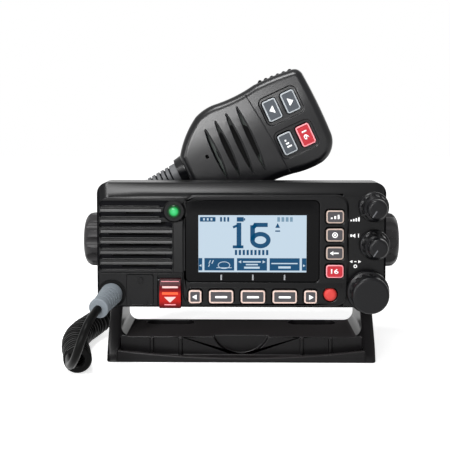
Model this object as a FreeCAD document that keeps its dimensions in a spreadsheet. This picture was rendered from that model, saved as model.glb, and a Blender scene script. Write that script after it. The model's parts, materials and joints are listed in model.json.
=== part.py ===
"""Fixed-mount VHF marine radio with its fist microphone, in millimetres.

The frame stands on the bracket's foot: Z = 0 is the underside, X = 0 is the middle of the set, and Y = 0
is the line through the two mounting slots. The front of the set faces -Y.
"""

import FreeCAD, Part
import math
import os
import re
import Sketcher

Vector = FreeCAD.Vector

doc = FreeCAD.newDocument("marine_radio")
dims = doc.addObject("Spreadsheet::Sheet", "Dims")

# The driving dimensions. Those ending in _x, _y and _z are places in the frame above.
DIMENSIONS = {
    # front panel
    "front_y": -72, "panel_width": 180, "panel_low_z": 38.6, "panel_top_z": 116.9, "panel_depth": 28,
    "panel_corner": 7, "panel_wall": 3, "bevel_depth": 6, "bevel_top": 9, "bevel_side": 2, "face_margin": 5,
    "boss_radius": 3.5, "boss_front": 2.5, "thread_radius": 1.5, "thread_depth": 17,
    "spindle_hole_gap": 0.6, "front_hole_depth": 14,
    # louvres and speaker
    "louvre_left_x": -87.6, "louvre_right_x": -42.4, "louvre_low_z": 64.6, "louvre_pitch": 6.55,
    "louvre_count": 7, "louvre_height": 3.8, "louvre_depth": 1, "slit_height": 1.7,
    "speaker_x": -62.8, "speaker_z": 81.4, "speaker_hole_radius": 19.2, "speaker_radius": 19.5,
    "magnet_radius": 11, "basket_depth": 8, "speaker_depth": 12.5,
    # display and the raised frame round it
    "pod_left_x": -36.2, "pod_right_x": 66, "pod_low_z": 40.9, "pod_top_z": 110, "pod_corner": 8,
    "pod_rise": 2.5, "pod_seat": 1.5, "pod_edge": 1.6,
    "glass_left_x": -34.3, "glass_right_x": 47.9, "glass_low_z": 55.9, "glass_top_z": 106.3,
    "glass_corner": 3, "glass_thick": 1.6, "glass_edge": 0.4, "glass_gap": 0.1,
    "lcd_left_x": -29, "lcd_right_x": 43, "lcd_low_z": 59, "lcd_top_z": 100, "lcd_thick": 5.5, "lcd_gap": 0.5,
    # green lamp
    "lamp_x": -41.3, "lamp_z": 99.6, "lamp_ring_radius": 7, "lamp_lens_radius": 4.2, "lamp_rise": 2.8,
    "lamp_root": 3,
    # keys on the set
    "key_gap": 0.35, "key_rise": 4.2, "key_tail": 3.6, "key_corner": 1.6, "key_edge": 0.7,
    "side_key_left_x": 52, "side_key_width": 10.8, "side_key_height": 8, "side_key_low_z": 58.9,
    "side_key_pitch": 11.2,
    "soft_key_low_z": 42.9, "soft_key_height": 8.2, "soft_key_width": 15, "soft_key_left_x": -19.8,
    "soft_key_pitch": 19.55, "arrow_key_width": 7.9, "arrow_key_left_x": -32.3, "arrow_key_right_x": 38.7,
    "round_key_x": 54.9, "round_key_z": 48.3, "round_key_radius": 4.1, "round_key_edge": 1.2,
    # knobs
    "small_knob_radius": 9.3, "small_cap_radius": 6.8, "small_knob_length": 19, "small_skirt": 3.4,
    "small_flute_count": 9, "small_flute_radius": 2.6, "knob_gap": 0.8, "flute_bite": 2.4,
    "pointer_half": 0.45, "pointer_depth": 0.5,
    "squelch_x": 81.2, "squelch_z": 102.5, "volume_x": 81.9, "volume_z": 79,
    "dial_x": 77.7, "dial_z": 50.5, "dial_radius": 13, "dial_cap_radius": 11.4, "dial_length": 15,
    "dial_skirt": 3, "dial_flute_count": 16, "dial_flute_radius": 1.9, "dial_gap": 3.7,
    "dial_shaft_tip": 5.4, "dial_shaft_tail": 6, "knob_crown": 4, "spindle_radius": 3,
    "running_clearance": 0.05,
    "pot_depth": 8, "pot_gap": 0.2, "pot_half": 4.5, "pot_left": 6, "pot_right": 2.5,
    "encoder_half": 6, "encoder_down": 5.5,
    # distress key and cover
    "distress_left_x": -50.6, "distress_right_x": -37.2, "distress_low_z": 39.4, "distress_pin_z": 56.6,
    "distress_thick": 2.6, "distress_pin_radius": 0.7, "distress_pin_depth": 1.1, "recess_depth": 2.2,
    "recess_margin": 1.2, "barrel_radius": 1.05, "distress_key_margin": 3.1, "distress_key_low_z": 44.1,
    "distress_key_top_z": 51.9, "distress_key_gap": 0.4, "distress_key_length": 5.4,
    # small screwed cover
    "port_left_x": -71, "port_right_x": -54.5, "port_low_z": 41.2, "port_top_z": 60, "port_gap": 0.15,
    "port_seat": 1.2, "port_thick": 1.6, "port_notch_x": 3, "port_notch_half": 0.8, "port_notch_height": 2.6,
    "port_screw_x": -62.9, "port_screw_z": 56.5, "port_screw_radius": 2.1, "port_hole_radius": 1.2,
    # where the microphone cord leaves the panel
    "gland_x": -80.2, "gland_z": 48.1, "gland_radius": 8.4, "gland_bore": 5.6, "gland_seat": 1.4,
    "boot_lean_down": 11.53, "boot_lean_left": 12.2, "boot_length": 23.5, "boot_radius": 7,
    "boot_tip_radius": 5.4, "boot_collar": 3.2, "groove_depth": 0.9, "groove_width": 1.1,
    # chassis
    "chassis_half": 77, "chassis_low_z": 44, "chassis_top_z": 103.9, "chassis_back_y": 54,
    "chassis_wall": 4, "chassis_rear_wall": 12, "shoulder_width": 15, "shoulder_drop": 12.5,
    "belly_chamfer": 4, "flange_thick": 3.5, "flange_half": 86.7, "flange_margin": 3.3,
    "gasket_thick": 1, "gasket_band": 1.8, "fin_slot": 3, "fin_pitch": 7, "fin_depth": 7.5, "fin_front_y": 10,
    "pivot_y": -7, "pivot_z": 73.8, "pivot_boss_radius": 9, "pivot_boss_depth": 8,
    # bracket
    "bracket_half": 86.5, "upright_thick": 8, "bracket_front_y": -54, "upright_radius": 16,
    "shin_y": -32, "shin_z": 31, "toe_y": -52, "toe_z": 5, "bracket_corner": 2.5,
    "plateau_z": 14.8, "plateau_front_y": -44, "channel_z": 2.5, "lip_end_z": 7.8, "lip_middle_z": 2.9,
    "lip_thick": 4, "rib_inner_x": 39.4, "rib_outer_x": 58, "rib_half": 1.1, "rib_rise": 2.5,
    "well_x": 49, "well_length": 33.4, "well_width": 14, "slot_length": 20, "slot_width": 5.5,
    "inner_corner": 6.4, "foot_wall": 3, "scallop_half": 18, "scallop_height": 12, "scallop_depth": 5,
    "core_middle_half": 27, "core_middle_back_y": 6, "core_inner_x": 31, "core_outer_x": 80,
    "core_side_back_y": -11,
    # clamp knobs and washers
    "clamp_radius": 18.2, "clamp_inner_x": 87.2, "clamp_length": 18.9, "clamp_edge": 6,
    "clamp_flute_radius": 4.4, "clamp_flute_offset": 2.6, "clamp_flute_count": 10, "clamp_flange": 4,
    "stud_radius": 4, "stud_end_x": 69.5, "stud_grip": 12, "washer_radius": 12, "washer_thick": 1.1,
    # antenna socket and power gland on the back
    "antenna_x": 52, "antenna_z": 78, "antenna_radius": 7.9, "antenna_length": 18, "antenna_bore": 6.4,
    "antenna_bore_depth": 11, "antenna_flange": 11.5, "antenna_hole": 5,
    "power_x": -50, "power_z": 78, "power_radius": 8, "power_bore": 3.4,
    # boards inside the set
    "board_thick": 1.6, "control_left_x": -40, "control_right_x": 84, "control_low_z": 45.5,
    "control_top_z": 107, "control_depth": 8.2, "main_half": 70, "main_z": 60, "main_front": 30,
    # microphone, measured along its own length from the neck, and outwards from its middle line
    "mic_x": -37.5, "mic_y": -32, "mic_z": 123.9, "mic_lean": 25, "mic_middle": -2, "mic_wall": 3,
    "mic_neck_half": 9.5, "mic_shoulder": 20.6, "mic_shoulder_half": 29.1, "mic_belly": 35.2,
    "mic_half": 31.5, "mic_waist": 64, "mic_waist_half": 32.1, "mic_heel": 84, "mic_heel_half": 33.3,
    "mic_length": 97.4, "mic_foot_half": 18.3, "mic_corner": 96.3, "mic_corner_half": 30, "mic_edge": 5,
    "mic_corner_radius": 6, "mic_joint_radius": 8,
    "mic_cavity_start": 3, "mic_cavity_neck": 8.3, "mic_cavity_shoulder": 15, "mic_cavity_half": 22,
    "mic_cavity_waist": 57, "mic_cavity_waist_half": 28, "mic_cavity_end": 91.2, "mic_cavity_end_half": 26,
    "mic_front_depth": 21, "mic_depth": 33, "mic_hole_x": 16.9, "mic_hole_z": 0.5, "mic_hole_radius": 0.9,
    "slot_half": 0.4, "slot_bow": 1.4, "mic_key_width": 9.4, "mic_key_height": 14.2, "mic_key_inner": 68.4,
    "mic_key_outer": 81.4, "mic_key_upper": 10.2, "mic_key_lower": -13.9, "mic_key_rise": 1.2,
    "mic_key_corner": 1.9, "key_frame_side": 2, "key_frame_end": 2.6, "key_frame_corner": 4,
    "key_frame_depth": 1,
    "ptt_start": 67, "ptt_end": 92, "ptt_gap": 0.4, "ptt_root": 25.5, "ptt_start_half": 32.3,
    "ptt_end_half": 30.4, "ptt_front": 8, "ptt_width": 11, "ptt_ridge_radius": 1.35, "ptt_ridge_count": 6,
    "mic_boot_length": 27, "mic_boot_radius": 6.4, "mic_boot_tip": 3.6, "mic_collar_radius": 9.3,
    "mic_collar_length": 5.5, "hang_x": 50, "hang_button_radius": 7, "hang_neck_radius": 3.5,
    "mic_speaker_x": 38, "mic_speaker_radius": 14.5, "mic_speaker_depth": 7.5, "capsule_radius": 4.8,
    "capsule_depth": 5.5, "mic_board_start": 22, "mic_board_end": 88, "mic_board_half": 22,
    "mic_board_depth": 11.4, "mic_screw_head": 2.4, "mic_screw_sink": 1.6,
    # curly cord
    "cable_radius": 2.5, "coil_radius": 9,
    # longer than any piece is thick
    "through": 80,
}

for row, (alias, number) in enumerate(DIMENSIONS.items(), start=1):
    dims.set(f"A{row}", alias)
    dims.set(f"B{row}", str(number))
    dims.setAlias(f"B{row}", alias)
doc.recompute()


# ---------------------------------------------------------------- expressions

def linked(expression):
    """The same expression with each alias written as a cell of the sheet."""
    def cell(match):
        word = match.group()
        return f"Dims.{word}" if word in DIMENSIONS else word
    return re.sub(r"[a-z][a-z_]*", cell, str(expression))


def value(expression):
    """The number that an expression gives."""
    return float(dims.evalExpression(linked(expression)))


def bind(thing, prop, expression):
    thing.setExpression(prop, linked(expression))


def place(thing, x=0, y=0, z=0, turn=None):
    """Put a body or primitive at a point, turned first if a rotation is given."""
    if turn is not None:
        thing.Placement = FreeCAD.Placement(Vector(), turn)
    for letter, expression in zip("xyz", (x, y, z)):
        bind(thing, f"Placement.Base.{letter}", expression)
    doc.recompute()
    return thing


# ---------------------------------------------------------------- sketches

PLANES = {"XY": ("XY_Plane", 1), "XZ": ("XZ_Plane", -1), "YZ": ("YZ_Plane", 1)}


def new_body(label):
    body = doc.addObject("PartDesign::Body", label)
    body.Label = label
    return body


def origin_feature(body, role):
    return next(item for item in body.Origin.OriginFeatures if item.Role == role)


def new_sketch(body, plane, level=0):
    """A sketch on one of the body's own planes, moved along the plane's axis to a level."""
    role, sign = PLANES[plane]
    sketch = body.newObject("Sketcher::SketchObject", "Outline")
    sketch.AttachmentSupport = [(origin_feature(body, role), "")]
    sketch.MapMode = "FlatFace"
    bind(sketch, "AttachmentOffset.Base.z", f"{sign} * ({level})")
    doc.recompute()
    return sketch


def measure(sketch, kind, *places_and_size):
    """A sized constraint whose size is an expression."""
    *places, size = places_and_size
    index = sketch.addConstraint(Sketcher.Constraint(kind, *places, value(size)))
    bind(sketch, f"Constraints[{index}]", size)


def pin_point(sketch, shape, end, x, y):
    measure(sketch, "DistanceX", -1, 1, shape, end, x)
    measure(sketch, "DistanceY", -1, 1, shape, end, y)


def join(sketch, first, first_end, second, second_end):
    sketch.addConstraint(Sketcher.Constraint("Coincident", first, first_end, second, second_end))


def polygon(sketch, points):
    """A closed outline of straight lines through pairs of expressions."""
    corners = [Vector(value(x), value(y), 0) for x, y in points]
    lines = [Part.LineSegment(a, b) for a, b in zip(corners, corners[1:] + corners[:1])]
    shapes = sketch.addGeometry(lines)
    for shape, following, (x, y) in zip(shapes, shapes[1:] + shapes[:1], points):
        join(sketch, shape, 2, following, 1)
        pin_point(sketch, shape, 1, x, y)


def bowed_outline(sketch, corners):
    """A closed outline, counter-clockwise. A corner is x, y and how far the side after it bows outwards."""
    spots = [Vector(value(x), value(y), 0) for x, y, _ in corners]
    sides = []
    for start, end, (_, _, bow) in zip(spots, spots[1:] + spots[:1], corners):
        height = value(bow)
        if height:
            outwards = (end - start).cross(Vector(0, 0, 1)).normalize()
            shape = sketch.addGeometry(Part.Arc(start, (start + end) / 2 + outwards * height, end))
        else:
            shape = sketch.addGeometry(Part.LineSegment(start, end))
        sides.append((shape, 2, 1) if height < 0 else (shape, 1, 2))
    following = sides[1:] + sides[:1]
    for (shape, first, last), (next_shape, next_first, _), (x, y, _) in zip(sides, following, corners):
        join(sketch, shape, last, next_shape, next_first)
        pin_point(sketch, shape, first, x, y)
    for (shape, _, _), (x0, y0, bow), (x1, y1, _) in zip(sides, corners, corners[1:] + corners[:1]):
        if value(bow):
            chord = f"((({x1}) - ({x0})) ^ 2 + (({y1}) - ({y0})) ^ 2)"
            measure(sketch, "Radius", shape, f"abs(({chord} / 4 + ({bow}) ^ 2) / (2 * ({bow})))")


def circle(sketch, x, y, radius):
    centre = Vector(value(x), value(y), 0)
    shape = sketch.addGeometry(Part.Circle(centre, Vector(0, 0, 1), value(radius)))
    measure(sketch, "Radius", shape, radius)
    pin_point(sketch, shape, 3, x, y)


def rounded_rectangle(sketch, left, low, right, high, radius):
    x0, y0, x1, y1, r = (value(item) for item in (left, low, right, high, radius))
    up = Vector(0, 0, 1)
    quarter = math.pi / 2
    sides = [
        Part.LineSegment(Vector(x0 + r, y0, 0), Vector(x1 - r, y0, 0)),
        Part.LineSegment(Vector(x1, y0 + r, 0), Vector(x1, y1 - r, 0)),
        Part.LineSegment(Vector(x1 - r, y1, 0), Vector(x0 + r, y1, 0)),
        Part.LineSegment(Vector(x0, y1 - r, 0), Vector(x0, y0 + r, 0)),
    ]
    centres = [(x1 - r, y0 + r), (x1 - r, y1 - r), (x0 + r, y1 - r), (x0 + r, y0 + r)]
    corners = [
        Part.ArcOfCircle(Part.Circle(Vector(x, y, 0), up, r), (turn - 1) * quarter, turn * quarter)
        for turn, (x, y) in enumerate(centres)
    ]
    first = sketch.addGeometry(sides + corners)[0]
    bottom, right_side, top, left_side = range(first, first + 4)
    arcs = range(first + 4, first + 8)
    for side, arc, following in zip(range(first, first + 4), arcs, (right_side, top, left_side, bottom)):
        sketch.addConstraint(Sketcher.Constraint("Tangent", side, 2, arc, 1))
        sketch.addConstraint(Sketcher.Constraint("Tangent", arc, 2, following, 1))
    for arc in arcs[1:]:
        sketch.addConstraint(Sketcher.Constraint("Equal", arcs[0], arc))
    for side in (bottom, top):
        sketch.addConstraint(Sketcher.Constraint("Horizontal", side))
    for side in (left_side, right_side):
        sketch.addConstraint(Sketcher.Constraint("Vertical", side))
    measure(sketch, "Radius", arcs[0], radius)
    measure(sketch, "DistanceX", -1, 1, left_side, 1, left)
    measure(sketch, "DistanceX", -1, 1, right_side, 1, right)
    measure(sketch, "DistanceY", -1, 1, bottom, 1, low)
    measure(sketch, "DistanceY", -1, 1, top, 1, high)


# ---------------------------------------------------------------- features

def pad(body, sketch, length, reverse=False, both=False):
    """Raise a sketch along its plane's normal: +Z, -Y or +X for the XY, XZ or YZ plane."""
    feature = body.newObject("PartDesign::Pad", "Pad")
    feature.Profile = sketch
    bind(feature, "Length", length)
    feature.Reversed = reverse
    feature.SideType = "Symmetric" if both else "One side"
    doc.recompute()
    return feature


def pocket(body, sketch, depth, reverse=False, both=False):
    """Cut a sketch against its plane's normal, and stop if nothing was cut."""
    before = body.Shape.Volume
    feature = body.newObject("PartDesign::Pocket", "Pocket")
    feature.Profile = sketch
    bind(feature, "Length", depth)
    feature.Reversed = reverse
    feature.SideType = "Symmetric" if both else "One side"
    doc.recompute()
    if body.Shape.Volume > before - 0.01:
        raise RuntimeError(f"a pocket in {body.Label} cuts nothing")
    return feature


def pattern(body, kind, feature, role, extent, count):
    """Repeat a feature along or about one of the body's own axes."""
    before = body.Shape.Volume
    repeated = body.newObject(f"PartDesign::{kind}", kind)
    repeated.Originals = [feature]
    axis = (origin_feature(body, role), [""])
    if kind == "PolarPattern":
        repeated.Axis = axis
        bind(repeated, "Angle", extent)
    else:
        repeated.Direction = axis
        bind(repeated, "Length", extent)
    bind(repeated, "Occurrences", count)
    body.Tip = repeated
    doc.recompute()
    if abs(body.Shape.Volume - before) < 0.01:
        raise RuntimeError(f"a pattern in {body.Label} repeats nothing")
    return repeated


def revolve(body, points, role="Z_Axis"):
    """Turn a half outline, drawn on the XZ plane, about one of the body's axes."""
    sketch = new_sketch(body, "XZ")
    polygon(sketch, points)
    feature = body.newObject("PartDesign::Revolution", "Revolution")
    feature.Profile = sketch
    feature.ReferenceAxis = (origin_feature(body, role), [""])
    feature.Angle = 360
    doc.recompute()
    return feature


def round_edges(body, radius, chosen, kind="Fillet"):
    """Fillet or chamfer the edges for which chosen(corner points) is true."""
    base = body.Tip
    names = [
        f"Edge{number}" for number, edge in enumerate(base.Shape.Edges, start=1)
        if chosen([vertex.Point for vertex in edge.Vertexes])
    ]
    if not names:
        raise RuntimeError(f"no edge of {body.Label} to round")
    feature = body.newObject(f"PartDesign::{kind}", kind)
    feature.Base = (base, names)
    bind(feature, "Radius" if kind == "Fillet" else "Size", radius)
    body.Tip = feature
    doc.recompute()
    return feature


def level_with(letter, expression):
    """A test for round_edges: every corner of the edge has this coordinate."""
    wanted = value(expression)
    return lambda points: all(abs(getattr(point, letter) - wanted) < 0.01 for point in points)


def upright_at(letters, spots):
    """A test for round_edges: the edge runs straight through one of these spots."""
    wanted = [tuple(value(item) for item in spot) for spot in spots]

    def chosen(points):
        if len(points) != 2:
            return False
        return any(
            all(abs(getattr(point, letter) - size) < 0.05 for point in points
                for letter, size in zip(letters, spot))
            for spot in wanted
        )
    return chosen


# ---------------------------------------------------------------- primitives

TURNS = {
    "X": FreeCAD.Rotation(Vector(0, 1, 0), 90),
    "Y": FreeCAD.Rotation(Vector(1, 0, 0), -90),
    "Z": FreeCAD.Rotation(),
}


def cylinder(label, axis, radius, length, x, y, z):
    """A Part::Cylinder that runs from a point along +X, +Y or +Z."""
    rod = doc.addObject("Part::Cylinder", label)
    rod.Label = label
    bind(rod, "Radius", radius)
    bind(rod, "Height", length)
    return place(rod, x, y, z, TURNS[axis])


def box(label, low, high):
    """A Part::Box between two corners."""
    block = doc.addObject("Part::Box", label)
    block.Label = label
    for prop, start, end in zip(("Length", "Width", "Height"), low, high):
        bind(block, prop, f"({end}) - ({start})")
    return place(block, *low)


def cut(label, base, tool):
    result = doc.addObject("Part::Cut", label)
    result.Label = label
    result.Base = base
    result.Tool = tool
    doc.recompute()
    return result


def fuse(label, shapes):
    result = doc.addObject("Part::MultiFuse", label)
    result.Label = label
    result.Shapes = shapes
    doc.recompute()
    return result


def group(label, shapes):
    """Identical fasteners as one node of separate solids."""
    result = doc.addObject("Part::Compound", label)
    result.Label = label
    result.Links = shapes
    doc.recompute()
    return result


NODES = []


def node(thing):
    """Mark a finished piece, so that it is checked and written."""
    NODES.append(thing)
    return thing


# ---------------------------------------------------------------- bracket and clamps

def make_bracket():
    body = new_body("bracket")
    side = new_sketch(body, "YZ")
    polygon(side, [
        ("bracket_front_y", "0"),
        ("pivot_y + upright_radius", "0"),
        ("pivot_y + upright_radius", "pivot_z"),
        ("pivot_y - upright_radius", "pivot_z"),
        ("shin_y", "shin_z"),
        ("toe_y", "toe_z"),
    ])
    pad(body, side, "2 * bracket_half", both=True)
    crown = new_sketch(body, "YZ")
    circle(crown, "pivot_y", "pivot_z", "upright_radius")
    pad(body, crown, "2 * bracket_half", both=True)

    # the open middle of the U, with round corners where the uprights leave the foot
    window = new_sketch(body, "XZ", "bracket_front_y - 5")
    inner = "bracket_half - upright_thick"
    rounded_rectangle(window, f"-({inner})", "plateau_z", inner, "pivot_z + 2 * upright_radius",
                      "inner_corner")
    pocket(body, window, "through")

    # the channel behind the lip, and the lip itself, which dips in the middle
    channel = new_sketch(body, "XZ", "bracket_front_y - 1")
    rounded_rectangle(channel, f"-({inner})", "channel_z", inner, "plateau_z + 8", 1.5)
    pocket(body, channel, "plateau_front_y - bracket_front_y + 1")
    lip = new_sketch(body, "XZ", "bracket_front_y + lip_thick")
    reach, dip = f"({inner} + 1)", "lip_middle_z - lip_end_z"
    bowed_outline(lip, [(f"-{reach}", 0, 0), (reach, 0, 0), (reach, "lip_end_z", dip),
                        (f"-{reach}", "lip_end_z", 0)])
    pad(body, lip, "lip_thick")
    for x in ("-rib_outer_x", "-rib_inner_x", "rib_inner_x", "rib_outer_x"):
        rib = new_sketch(body, "XZ", "plateau_front_y + 0.5")
        rounded_rectangle(rib, f"{x} - rib_half", "channel_z - 0.5", f"{x} + rib_half", "plateau_z - 1", 0.4)
        pad(body, rib, "rib_rise")

    # the thumb scallop in the front wall
    scallop = new_sketch(body, "XZ", "plateau_front_y - 3")
    rise = "(scallop_half ^ 2 - scallop_height ^ 2) / (2 * scallop_height)"
    circle(scallop, 0, f"plateau_z + {rise}", f"scallop_height + {rise}")
    pocket(body, scallop, "scallop_depth + 3")

    # deep wells for the screws, and a slot through the floor of each
    for x in ("-well_x", "well_x"):
        well = new_sketch(body, "XY", "plateau_z")
        rounded_rectangle(well, f"{x} - well_length / 2", "-well_width / 2", f"{x} + well_length / 2",
                          "well_width / 2", "well_width / 2 - 0.05")
        pocket(body, well, "plateau_z - foot_wall")
        slot = new_sketch(body, "XY", "foot_wall")
        rounded_rectangle(slot, f"{x} - slot_length / 2", "-slot_width / 2", f"{x} + slot_length / 2",
                          "slot_width / 2", "slot_width / 2 - 0.01")
        pocket(body, slot, "foot_wall")

    # the foot is cored out from below, leaving ribs and the walls of the wells
    middle = ("-core_middle_half", "core_middle_half", "core_middle_back_y")
    sides = [("-core_outer_x", "-core_inner_x", "core_side_back_y"),
             ("core_inner_x", "core_outer_x", "core_side_back_y")]
    for left, right, back in (middle, *sides):
        core = new_sketch(body, "XY", 0)
        rounded_rectangle(core, left, "plateau_front_y + scallop_depth + 3", right, back, 3)
        pocket(body, core, "plateau_z - foot_wall", reverse=True)

    bore = new_sketch(body, "YZ")
    circle(bore, "pivot_y", "pivot_z", "stud_radius + 0.3")
    pocket(body, bore, "2 * bracket_half + 4", both=True)
    half, front = value("bracket_half"), value("bracket_front_y + 3")
    round_edges(body, "bracket_corner",
                lambda points: all(abs(p.x) > half - 0.01 and p.y < front for p in points))
    return node(body)


def make_clamp(side):
    """The fluted clamp knob of one side and the steel stud moulded into it."""
    sign = 1 if side == "right" else -1
    knob = new_body(f"clamp_knob_{side}")
    disc = new_sketch(knob, "YZ")
    circle(disc, 0, 0, "clamp_radius")
    pad(knob, disc, "clamp_length")
    round_edges(knob, "clamp_edge", level_with("x", "clamp_length"))
    flute = new_sketch(knob, "YZ", "clamp_flange")
    circle(flute, "clamp_radius + clamp_flute_offset", 0, "clamp_flute_radius")
    first = pocket(knob, flute, "clamp_length", reverse=True)
    pattern(knob, "PolarPattern", first, "X_Axis", 360, "clamp_flute_count")
    bore = new_sketch(knob, "YZ")
    circle(bore, 0, 0, "stud_radius")
    pocket(knob, bore, "stud_grip", reverse=True)
    turn = FreeCAD.Rotation(Vector(0, 0, 1), 0 if sign > 0 else 180)
    node(place(knob, f"{sign} * clamp_inner_x", "pivot_y", "pivot_z", turn))
    start = "stud_end_x" if sign > 0 else "-clamp_inner_x - stud_grip"
    stud_length = "clamp_inner_x + stud_grip - stud_end_x"
    node(cylinder(f"clamp_stud_{side}", "X", "stud_radius", stud_length, start, "pivot_y", "pivot_z"))


def make_washers():
    """Two rubber washers between the chassis and the uprights."""
    rings = []
    for name, start in (("left", "-chassis_half - washer_thick"), ("right", "chassis_half")):
        spot = (start, "pivot_y", "pivot_z")
        disc = cylinder(f"washer_disc_{name}", "X", "washer_radius", "washer_thick", *spot)
        hole = cylinder(f"washer_hole_{name}", "X", "stud_radius + 0.5", "washer_thick", *spot)
        rings.append(cut(f"washer_{name}", disc, hole))
    node(group("gimbal_washers", rings))


# ---------------------------------------------------------------- front panel

# Where the four screws hold the chassis to the front panel, clear of the knobs and the cord: x and z.
SCREW_SPOTS = (("-83", "60.5"), ("-82", "107"), ("83", "91"), ("83", "64.4"))


def key_table():
    """Name, left, low, width and height of every rectangular key on the set."""
    keys = []
    for number in range(4):
        low = f"side_key_low_z + {3 - number} * side_key_pitch"
        size = ("side_key_width", "side_key_height")
        keys.append((f"side_key_{number + 1}", "side_key_left_x", low, *size))
    size = ("soft_key_low_z", "arrow_key_width", "soft_key_height")
    keys.append(("soft_key_left", "arrow_key_left_x", *size))
    for number in range(3):
        left = f"soft_key_left_x + {number} * soft_key_pitch"
        wide = ("soft_key_low_z", "soft_key_width", "soft_key_height")
        keys.append((f"soft_key_{number + 1}", left, *wide))
    keys.append(("soft_key_right", "arrow_key_right_x", *size))
    return keys


def lcd_window(sketch):
    rounded_rectangle(sketch, "lcd_left_x - lcd_gap", "lcd_low_z - lcd_gap", "lcd_right_x + lcd_gap",
                      "lcd_top_z + lcd_gap", 1)


def cut_key_holes(body, level, depth):
    """The openings that the keys stand in, a little larger than the keys."""
    holes = new_sketch(body, "XZ", level)
    for _, left, low, width, height in key_table():
        rounded_rectangle(holes, f"{left} - key_gap", f"{low} - key_gap", f"{left} + {width} + key_gap",
                          f"{low} + {height} + key_gap", "key_corner + key_gap")
    circle(holes, "round_key_x", "round_key_z", "round_key_radius + key_gap")
    pocket(body, holes, depth)


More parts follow.
